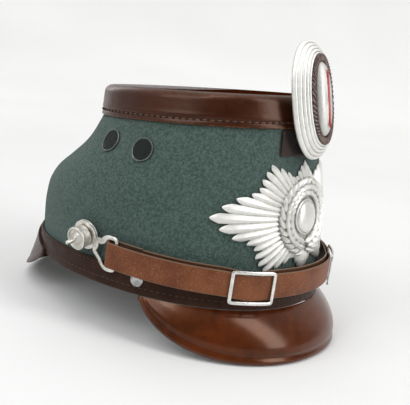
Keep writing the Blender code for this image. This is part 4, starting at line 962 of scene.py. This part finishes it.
# Cockade
# An oval boss stamped in white metal with rounded ridges, standing up in front of the crown. A dark copper rope
# ring frames its grained centre, which has a red enamel slot; its tongue drops behind a black leather sleeve.
COCKADE_WIDTH, COCKADE_HEIGHT, COCKADE_Z, COCKADE_LEAN = 0.0490, 0.0812, 0.1742, 14.5
COCKADE_BACK, COCKADE_DEPTH, COCKADE_EDGE, COCKADE_RIDGES = 0.0183, 0.0095, 0.0016, 5
RING_WIDTH, RING_HEIGHT, RING_BAND, RING_THICK, CORE_THICK = 0.0280, 0.0610, 0.0050, 0.0022, 0.0052
INLAY_WIDTH, INLAY_HEIGHT, INLAY_THICK = 0.0026, 0.0390, 0.0006
COCKADE_SIDES, COCKADE_POWER, RIDGE_HEIGHT, RIDGE_SINK = 144, 2.3, 0.0011, 0.0006
ROPE_SIDES, ROPE_ROWS, ROPE_TWISTS, ROPE_STRAND, ROPE_LIFT = 600, 24, 60, 0.20, 0.0009
CORE_SINK, CORE_EDGE, CORE_RIBS, CORE_RIB = 0.0003, 0.0006, 36, 0.00010
# The centre's second tone is grime together with painted shade, laid on by the hollow mark.
CORE_TONE, CORE_GRIME_AND_SHADE = (0.64, 0.63, 0.60), (0.34, 0.32, 0.29)


def cockade_point(across, up, out):
    """Places on the cockade: across and up from its centre in its leaning plane, and out of its flat back."""
    lean = np.radians(COCKADE_LEAN)
    y = FOOT_FRONT_Y + COCKADE_BACK + up * np.sin(lean) - out * np.cos(lean)
    z = COCKADE_Z + up * np.cos(lean) + out * np.sin(lean)
    return np.stack(np.broadcast_arrays(across, y, z), -1)


def cockade_oval(width, height, out, power=COCKADE_POWER, sides=COCKADE_SIDES):
    """Squared ellipses, one for each row of the sizes that are given."""
    spin = np.radians(np.arange(sides) * 360 / sides)
    across = width / 2 * squared_off(np.sin(spin), 2 / power)
    return cockade_point(across, height / 2 * squared_off(np.cos(spin), 2 / power), out)


def frosted_silver(name, colour=(0.84, 0.83, 0.795), grime_and_shade=(0.20, 0.19, 0.165), roughness=0.42, grain=2600):
    """White frosted metal with a sand-cast grain, bright on what is raised and dark by the hollow mark: grime
    together with painted shade in recesses, under parts and on backs.
    """
    metal = material_of(name, roughness, metallic=0.55, specular=0.5)
    cloud = mottle(metal, 0.30, 0.70, 240, 4, 0.65)
    tone = blend_colour(metal, cloud, tuple(c * 0.84 for c in colour), colour)
    hollow = combine(metal, "MULTIPLY", mark_of(metal, "hollow"),
                     between(metal, speckle(metal, 500, 3, 0.6), 0.25, 0.65, 0.35, 1.0))
    # Painted shade with grime: the hollow mark darkens recesses, under faces and backs.
    tone = blend_colour(metal, hollow, tone, grime_and_shade)
    return finish_with(metal, tone, None, speckle(metal, grain, 3, 0.7), 0.35, 0.00025)


silver = frosted_silver("cockade silver")
share = np.linspace(0, 1, 12 * COCKADE_RIDGES + 1)[:, None]
ridge = np.abs(np.sin(np.pi * COCKADE_RIDGES * share)) ** 0.7
rise = COCKADE_EDGE + (COCKADE_DEPTH - COCKADE_EDGE) * np.sin(share * np.pi / 2)
rise = rise + RIDGE_HEIGHT * ridge - RIDGE_SINK
front_rows = cockade_oval(mix(COCKADE_WIDTH, RING_WIDTH * 0.97, share),
                          mix(COCKADE_HEIGHT, RING_HEIGHT * 0.97, share), rise)
inner = np.array([0.75, 0.5, 0.25])[:, None]
floor_rows = cockade_oval(RING_WIDTH * inner, RING_HEIGHT * inner, COCKADE_DEPTH - RIDGE_SINK)
back_rows = cockade_oval(COCKADE_WIDTH * np.array([0.35, 0.7, 0.96])[:, None],
                         COCKADE_HEIGHT * np.array([0.35, 0.7, 0.975])[:, None], 0.0)
rows = np.concatenate([back_rows, front_rows, floor_rows])
# Hollow mark: grime together with painted shade in the valleys between ridges, on the back and on the sunk floor.
hollow = np.concatenate([np.full(3, 0.6), np.clip(1 - ridge[:, 0] * 1.5, 0, 1) * 0.75, np.full(3, 0.5)])
poles = (cockade_point(0, 0, 0.0), cockade_point(0, 0, COCKADE_DEPTH - RIDGE_SINK))
shell = skin("cockade_boss", rows, silver, poles, {"hollow": hollow[:, None]}, 70)
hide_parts("cockade_shell")

spin = np.radians(np.arange(ROPE_SIDES) * 360 / ROPE_SIDES)
turn = np.radians(np.arange(ROPE_ROWS) * 360 / ROPE_ROWS)[:, None]
bulge = 1 + ROPE_STRAND * np.cos(3 * turn + ROPE_TWISTS * spin)
off = RING_BAND / 2 * bulge * np.cos(turn)
out = COCKADE_DEPTH + ROPE_LIFT + RING_THICK / 2 * bulge * np.sin(turn)
across = (RING_WIDTH / 2 - RING_BAND / 2 + off) * squared_off(np.sin(spin), 2 / COCKADE_POWER)
up = (RING_HEIGHT / 2 - RING_BAND / 2 + off) * squared_off(np.cos(spin), 2 / COCKADE_POWER)
rope_metal = material_of("rope ring copper", 0.40, metallic=0.75)
rope_tone = mottle(rope_metal, 0.3, 0.7, 500, 4, 0.6)
rope_colour = blend_colour(rope_metal, rope_tone, (0.060, 0.038, 0.033), (0.26, 0.20, 0.18))
# Painted shade: the rope turns near-black in the grooves between its strands, by the hollow mark.
rope_colour = blend_colour(rope_metal, mark_of(rope_metal, "hollow"), rope_colour, (0.016, 0.009, 0.008))
finish_with(rope_metal, rope_colour, None, speckle(rope_metal, 2600, 2), 0.2, 0.0002)
rope = skin("cockade_rope", cockade_point(across, up, out), rope_metal, None,
            {"hollow": np.clip((1.05 - bulge) / ROPE_STRAND, 0, 1)}, 80)
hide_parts("cockade_ring")

width, height = RING_WIDTH - 2 * RING_BAND - 2 * GAP, RING_HEIGHT - 2 * RING_BAND - 2 * GAP
wide = np.cos(np.linspace(0, np.pi / 2, 26)[:-1])[:, None]
dome = (1 - wide**3.2) ** 0.55
seat = COCKADE_DEPTH - CORE_SINK
spin = np.radians(np.arange(COCKADE_SIDES) * 360 / COCKADE_SIDES)
ribs = CORE_RIB * np.cos(CORE_RIBS * spin)[None] * (wide > 0.15) * (wide < 0.93)
rows = cockade_oval(width * wide, height * wide, seat + CORE_EDGE + CORE_THICK * dome + ribs)
base = cockade_oval(width * np.array([[0.5], [1.0]]), height * np.array([[0.5], [1.0]]), seat)
core_silver = frosted_silver("cockade core silver", CORE_TONE, CORE_GRIME_AND_SHADE, 0.45, 1500)
# Hollow mark: grime together with painted shade on the base and towards the rim where the centre meets the rope.
core = skin("cockade_centre", np.concatenate([base, rows]), core_silver,
            (cockade_point(0, 0, seat), cockade_point(0, 0, seat + CORE_EDGE + CORE_THICK)),
            {"hollow": np.concatenate([[[1.0]], [[1.0]], 0.5 * wide**6])}, 60)
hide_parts("cockade_core")
enamel = material_of("red enamel", 0.3, coat=0.6)
enamel_tone = mottle(enamel, 0.3, 0.7, 700, 3, 0.6)
finish_with(enamel, blend_colour(enamel, enamel_tone, (0.30, 0.012, 0.014), (0.48, 0.030, 0.028)), None,
            speckle(enamel, 900, 2), 0.15, 0.0002)
wide = np.array([0.5, 1.0, 1.0, 0.9, 0.6, 0.3])[:, None]
out = seat + CORE_EDGE + CORE_THICK + INLAY_THICK * np.array([-0.8, -0.8, 0.1, 0.5, 0.85, 1.0])[:, None]
rows = cockade_oval(INLAY_WIDTH * wide, INLAY_HEIGHT * mix(1, wide, 0.1), out, 2.0, 72)
poles = (cockade_point(0, 0, out[0, 0]), cockade_point(0, 0, out[-1, 0]))
inlay = skin("cockade_slot", rows, enamel, poles, None, 60)
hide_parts("cockade_inlay")

SLEEVE_WIDTH, SLEEVE_HEIGHT, SLEEVE_WALL, TONGUE_WIDTH = 0.0500, 0.0180, 0.0014, 0.0100
TONGUE_TOP_Z, TONGUE_FOOT_Z = COCKADE_Z - COCKADE_HEIGHT * 0.200, COCKADE_Z - COCKADE_HEIGHT * 0.452
SLEEVE_DROP = 0.0005
SLEEVE_BLACK = (0.008, 0.008, 0.009), (0.020, 0.019, 0.020), (0.05, 0.042, 0.038)
sleeve_leather = lacquered_leather("sleeve leather", SLEEVE_BLACK, 0.07, 0.5, 0.3)
sleeve_share = 1 - (SLEEVE_HEIGHT / 2 + GAP) / (CROWN_FRONT_Z - FOOT_FRONT_Z)
turn = np.linspace(0, 2 * np.pi, 40, endpoint=False)
up = SLEEVE_HEIGHT / 2 * squared_off(np.sin(turn), 0.3)
out = 0.5 + 0.5 * squared_off(np.cos(turn), 0.5)
across = np.linspace(-1, 1, 60)[:, None] * SLEEVE_WIDTH / 2
corner = np.clip((1 - np.abs(across) / (SLEEVE_WIDTH / 2)) * 12, 0, 1) ** 0.5
up = up * (0.86 + 0.14 * corner) - SLEEVE_DROP
rings = on_wall(across, up, GAP + SLEEVE_WALL * out, 0.0, sleeve_share)
sleeve = skin("cockade_patch", rings, sleeve_leather, ends_of(rings),
              {"wear": 0.15 * (np.abs(np.sin(turn)) > 0.97)[None]}, 60)
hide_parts("cockade_sleeve")
foot_share = (TONGUE_FOOT_Z - foot_z(CROWN_FRONT_Y)) / (crown_z(CROWN_FRONT_Y) - foot_z(CROWN_FRONT_Y))
behind = (cap_wall(0.0, 0.0, CAP_WALL + 2 * GAP)[1], wall(0.0, foot_share, SLEEVE_WALL + 2 * GAP)[1])
z = np.linspace(TONGUE_TOP_Z, TONGUE_FOOT_Z, 24)[:, None]
front_y = FOOT_FRONT_Y + COCKADE_BACK - (COCKADE_Z - z) * np.tan(np.radians(COCKADE_LEAN)) + GAP
back_y = mix(behind[0], behind[1], (TONGUE_TOP_Z - z) / (TONGUE_TOP_Z - TONGUE_FOOT_Z))
turn = np.linspace(0, 2 * np.pi, 32, endpoint=False)
across = TONGUE_WIDTH / 2 * squared_off(np.cos(turn), 0.4)
depth = 0.5 + 0.5 * squared_off(np.sin(turn), 0.5)
rings = np.stack(np.broadcast_arrays(across, mix(front_y, back_y, depth), z), -1)
tongue = skin("cockade_catch", rings, sleeve_leather, ends_of(rings), {"wear": 0.0}, 60)
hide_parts("cockade_tongue")

# Front badge
# A plain eight-pointed star of fluted rays, die-struck in white metal and bent to the felt, with a laurel wreath
# and a smooth domed boss fixed on its middle. It stands off the felt on pins that are not seen.
BADGE_Z, BADGE_OFF_FELT = 0.0945, 0.0008
STAR_HALF_WIDTH, STAR_HALF_HEIGHT, STAR_POINTS, STAR_FLUTES = 0.0760, 0.0390, 8, 7
STAR_PLATE, STAR_RAY_LIFT = 0.0020, 0.0010
STAR_SIDES, STAR_POWER, STAR_HUB_LAP = 1120, 2.6, 0.002
WREATH_RADIUS, WREATH_BAND = 0.0205, 0.0110
# Rows of leaves: distance out from WREATH_RADIUS, splay, leaves on each side, shift round the ring in leaves
LEAF_ROWS = ((-0.0028, -0.0022, 11, 0.00), (0.0030, 0.0044, 13, 0.25), (0.0002, 0.0010, 12, 0.5))
LEAF_HALF, LEAF_CREST, LEAF_RIB, LEAF_STEPS, LEAF_SIDES = 0.0024, 0.0021, 0.0006, 13, 9
LEAF_EDGE, LEAF_RISE, LEAF_TOP_ROW = 0.0004, 0.0008, 0.0008
BOSS_RADIUS, BOSS_DOME, BOSS_LIP, BOSS_GROOVE, BOSS_BEAD, BOSS_SIDES = 0.0125, 0.0046, 0.0011, 0.0012, 0.0016, 160
BADGE_SHARE = (BADGE_Z - FOOT_FRONT_Z) / (CROWN_FRONT_Z - FOOT_FRONT_Z)


def badge_point(across, up, lift):
    return on_wall(across, up, lift, 0.0, BADGE_SHARE)


badge_silver = frosted_silver("badge silver")
spin = np.radians(np.arange(STAR_SIDES) * 360 / STAR_SIDES)
wide, high = np.abs(np.sin(spin) / STAR_HALF_WIDTH), np.abs(np.cos(spin) / STAR_HALF_HEIGHT)
envelope = (wide**STAR_POWER + high**STAR_POWER) ** (-1 / STAR_POWER)
turn = (spin * STAR_POINTS / (2 * np.pi) + 0.5) % 1 - 0.5
ray = np.abs((turn * STAR_FLUTES + 0.5) % 1 - 0.5) * 2
step = np.round(turn * STAR_FLUTES) / STAR_FLUTES
reach = envelope * (1 - 0.62 * np.abs(step)) * (1 - 0.10 * ray**1.5)
hub = WREATH_RADIUS + WREATH_BAND / 2 - STAR_HUB_LAP
share = np.linspace(0, 1, 22)[:, None]
radius = mix(hub, reach, share)
thick = STAR_PLATE * (1 - 0.55 * share)
crest = STAR_RAY_LIFT * 1.6 * (1 - ray) * (0.35 + 0.65 * np.sin(np.pi * np.clip(share * 1.1, 0, 1)) ** 0.5)
lift = BADGE_OFF_FELT + np.where(share < 0.98, thick * (1 - 0.35 * share**8) + crest, thick * 0.45)
front_rows = badge_point(radius * np.sin(spin), radius * np.cos(spin), lift)
disc = np.array([0.3, 0.65, 0.95])[:, None] * hub
disc_rows = badge_point(disc * np.sin(spin), disc * np.cos(spin), BADGE_OFF_FELT + STAR_PLATE)
back_share = np.array([1.0, 0.66, 0.33, 0.0])[:, None]
back_radius = mix(hub, reach, back_share)
back_rows = badge_point(back_radius * np.sin(spin), back_radius * np.cos(spin), BADGE_OFF_FELT)
back_disc = badge_point(disc[::-1] * np.sin(spin), disc[::-1] * np.cos(spin), BADGE_OFF_FELT)
rows = np.concatenate([disc_rows, front_rows, back_rows, back_disc])
# Hollow mark: grime together with painted shade on the hub under the wreath and in the valleys between flutes,
# less on the back.
hollow = np.concatenate([np.full((3, STAR_SIDES), 0.8), np.clip(ray * 1.4 - 0.7, 0, 1) * (1 - 0.4 * share),
                         np.full((7, STAR_SIDES), 0.3)])
poles = (badge_point(0, 0, BADGE_OFF_FELT + STAR_PLATE), badge_point(0, 0, BADGE_OFF_FELT))
star = skin("badge_rays", rows, badge_silver, poles, {"hollow": hollow}, 28)
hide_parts("badge_star")


def leaf_wreath():
    """Rows of pointed leaves round a ring: each is a grid along and across, splayed, with a raised midrib."""
    t = np.linspace(0, 1, LEAF_STEPS)[:, None]
    s = np.linspace(-1, 1, LEAF_SIDES)[None]
    half = LEAF_HALF * np.sin(np.pi * t**0.7) ** 0.75
    plate = BADGE_OFF_FELT + STAR_PLATE
    body, marks = [], []
    for row, (offset, splay, count, shift) in enumerate(LEAF_ROWS):
        middle = WREATH_RADIUS + offset
        length = 2 * np.pi * WREATH_RADIUS / count * 0.92
        for index in range(count):
            for hand in (1, -1):
                start = hand * (index + shift) / count * np.pi
                angle = np.pi + start + hand * t * length / middle
                lean = middle + s * half + splay * t**1.4
                crest = LEAF_CREST * np.sin(np.pi * t) ** 0.5 * (1 - 0.8 * s**2)
                crest = crest + LEAF_RIB * np.exp(-(s / 0.12) ** 2)
                top = LEAF_EDGE + crest + LEAF_RISE * t + LEAF_TOP_ROW * (row == 2)
                face = badge_point(lean * np.sin(angle), lean * np.cos(angle), plate + top)
                under = badge_point(lean * np.sin(angle), lean * np.cos(angle), plate + 0 * top)
                body.append(np.concatenate([face, under[:, ::-1]], axis=1))
                # Painted shade with grime: darker at leaf edges and bases, and fully dark on the under faces.
                shade = np.clip(1.5 * np.abs(s) - 0.55 + 0.9 * np.exp(-(t / 0.15) ** 2), 0, 1)
                marks.append(np.concatenate([shade, np.ones((LEAF_STEPS, LEAF_SIDES))], axis=1))
    return np.array(body), np.array(marks)


leaves, leaf_marks = leaf_wreath()
wreath = many_bodies("badge_laurel", leaves, badge_silver, {"hollow": leaf_marks}, 50)
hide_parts("badge_wreath")
spin = np.radians(np.arange(BOSS_SIDES) * 360 / BOSS_SIDES)
dome = [(BOSS_RADIUS * 0.88 * np.cos(a), BOSS_GROOVE + (BOSS_DOME - BOSS_GROOVE) * np.sin(a))
        for a in np.radians([0, 15, 30, 45, 60, 75])]
profile = rounded_profile([
    (0.0, 0.0), (BOSS_RADIUS, 0.0), (BOSS_RADIUS, BOSS_LIP), (BOSS_RADIUS * 0.95, BOSS_BEAD),
    (BOSS_RADIUS * 0.90, BOSS_GROOVE), *dome, (0.0, BOSS_DOME),
])
seat = BADGE_OFF_FELT + STAR_PLATE + GAP
rings = badge_point(profile[1:-1, :1] * np.sin(spin), profile[1:-1, :1] * np.cos(spin), seat + profile[1:-1, 1:])
boss_silver = frosted_silver("boss silver", (0.76, 0.755, 0.725), (0.26, 0.25, 0.22), 0.32, 1800)
radius_share = profile[1:-1, :1] / BOSS_RADIUS
# Hollow mark: grime together with painted shade in the groove round the dome.
boss = skin("badge_dome", rings, boss_silver, (badge_point(0, 0, seat), badge_point(0, 0, seat + BOSS_DOME)),
            {"hollow": 0.8 * np.exp(-((radius_share - 0.90) / 0.03) ** 2)}, 50)
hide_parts("badge_boss")

# Floor, light and camera
# A pale studio sweep that glows more towards its back, a tall window light from the right, weaker ones from the
# left, above and behind, a sky that is brighter behind the hat, and the camera at the hat's front right quarter.
SWEEP_BACK, SWEEP_ROUND, SWEEP_SIZE = 1.6, 1.2, 6.0
PAPER_DARK, PAPER_PALE = (0.625, 0.625, 0.617), (0.655, 0.655, 0.647)
PAPER_GLOW, SKY_GLOW = (0.10, 1.9, 0.09, 0.72), (-0.35, 0.70, 0.24, 0.95)
CAMERA_LENS, CAMERA_SENSOR = 73.11, 36.0
CAMERA_X, CAMERA_BEFORE_FOOT, CAMERA_Z = -0.5013, 0.260575, 0.2226
VIEW_DIRECTION = np.array([0.7978, 0.5604, -0.2222])
level_view = np.append(VIEW_DIRECTION[:2] / np.linalg.norm(VIEW_DIRECTION[:2]), 0.0)
level_side = np.array([level_view[1], -level_view[0], 0.0])
upward = np.array([0, 0, 1.0])
turn = np.radians(np.arange(6, 91, 6))
depth = np.concatenate([[-SWEEP_SIZE, -1.0, 0.0, SWEEP_BACK], SWEEP_BACK + SWEEP_ROUND * np.sin(turn),
                        [SWEEP_BACK + SWEEP_ROUND]])[None, :, None]
height = np.concatenate([[0, 0, 0, 0], SWEEP_ROUND * (1 - np.cos(turn)), [SWEEP_SIZE]])[None, :, None]
across = np.linspace(-SWEEP_SIZE, SWEEP_SIZE, 9)[:, None, None]
sweep_points = across * level_side + depth * level_view + height * upward
rows, columns = sweep_points.shape[:2]
first = (np.arange(rows - 1)[:, None] * columns + np.arange(columns - 1)[None]).ravel()
mesh = bpy.data.meshes.new("studio_sweep")
mesh.from_pydata(sweep_points.reshape(-1, 3).tolist(), [],
                 np.stack([first, first + 1, first + columns + 1, first + columns], -1).tolist())
mesh.shade_smooth()
paper = material_of("studio paper", 0.8, specular=0.2)
paper_colour = blend_colour(paper, mottle(paper, 0.3, 0.7, 3, 2), PAPER_DARK, PAPER_PALE)
finish_with(paper, paper_colour)
axes = paper.node_tree.nodes.new("ShaderNodeSeparateXYZ")
plug(paper, paper.node_tree.nodes.new("ShaderNodeTexCoord").outputs["Object"], axes.inputs["Vector"])
toward = level_view + 0.35 * level_side
away = combine(paper, "ADD", combine(paper, "MULTIPLY", axes.outputs["X"], float(toward[0])),
               combine(paper, "MULTIPLY", axes.outputs["Y"], float(toward[1])))
paper_shader = paper.node_tree.nodes["Principled BSDF"]
plug(paper, paper_colour, paper_shader.inputs["Emission Color"])
plug(paper, between(paper, away, *PAPER_GLOW), paper_shader.inputs["Emission Strength"])
mesh.materials.append(paper)
sweep = bpy.data.objects.new("studio_sweep", mesh)
bpy.context.collection.objects.link(sweep)


def softbox(name, ahead, aside, above, width, height, power, colour=(1, 1, 1)):
    """A light at distances from the hat's middle along, across and above the view, turned to that middle."""
    middle = np.array([0.0, 0.0, 0.09])
    place = middle + ahead * level_view + aside * level_side + above * upward
    light = bpy.data.lights.new(name, "AREA")
    light.shape = "RECTANGLE"
    light.size, light.size_y = width, height
    light.energy = power
    light.color = colour
    lamp = bpy.data.objects.new(name, light)
    bpy.context.collection.objects.link(lamp)
    lamp.location = place
    lamp.rotation_mode = "QUATERNION"
    lamp.rotation_quaternion = Vector(middle - place).to_track_quat("-Z", "Y")


softbox("window", -0.55, 1.05, 0.75, 0.5, 1.7, 15)
softbox("fill", -0.9, -1.1, 0.9, 0.9, 1.0, 10, (0.96, 0.98, 1.0))
softbox("top", 0.5, 0.1, 1.3, 1.4, 1.0, 3)
softbox("strip", -0.5, -0.3, 1.1, 0.16, 0.9, 4)
softbox("rim", 1.2, -1.1, 0.6, 0.5, 1.0, 4)
world = bpy.data.worlds.new("studio")
world.use_nodes = True
background = world.node_tree.nodes["Background"]
background.inputs["Color"].default_value = (0.985, 0.99, 1.0, 1.0)
facing = world.node_tree.nodes.new("ShaderNodeVectorMath")
facing.operation = "DOT_PRODUCT"
facing.inputs[1].default_value = level_view - 0.55 * level_side + 0.4 * upward
plug(world, world.node_tree.nodes.new("ShaderNodeTexCoord").outputs["Generated"], facing.inputs[0])
plug(world, between(world, facing.outputs["Value"], *SKY_GLOW), background.inputs["Strength"])
bpy.context.scene.world = world
bpy.context.scene.view_settings.view_transform = "Standard"

camera_data = bpy.data.cameras.new("camera")
camera_data.sensor_width = CAMERA_SENSOR
camera_data.lens = CAMERA_LENS
camera = bpy.data.objects.new("camera", camera_data)
bpy.context.collection.objects.link(camera)
right, upwards = np.array([0.5956, -0.7898, 0.1465]), np.array([0.0934, 0.2492, 0.9639])
turn = Matrix([[right[i], upwards[i], -VIEW_DIRECTION[i]] for i in range(3)])
camera_place = (CAMERA_X, FOOT_FRONT_Y - CAMERA_BEFORE_FOOT, CAMERA_Z)
camera.matrix_world = Matrix.Translation(camera_place) @ turn.to_4x4()
camera_data.clip_start, camera_data.clip_end = 0.02, 30
bpy.context.scene.camera = camera
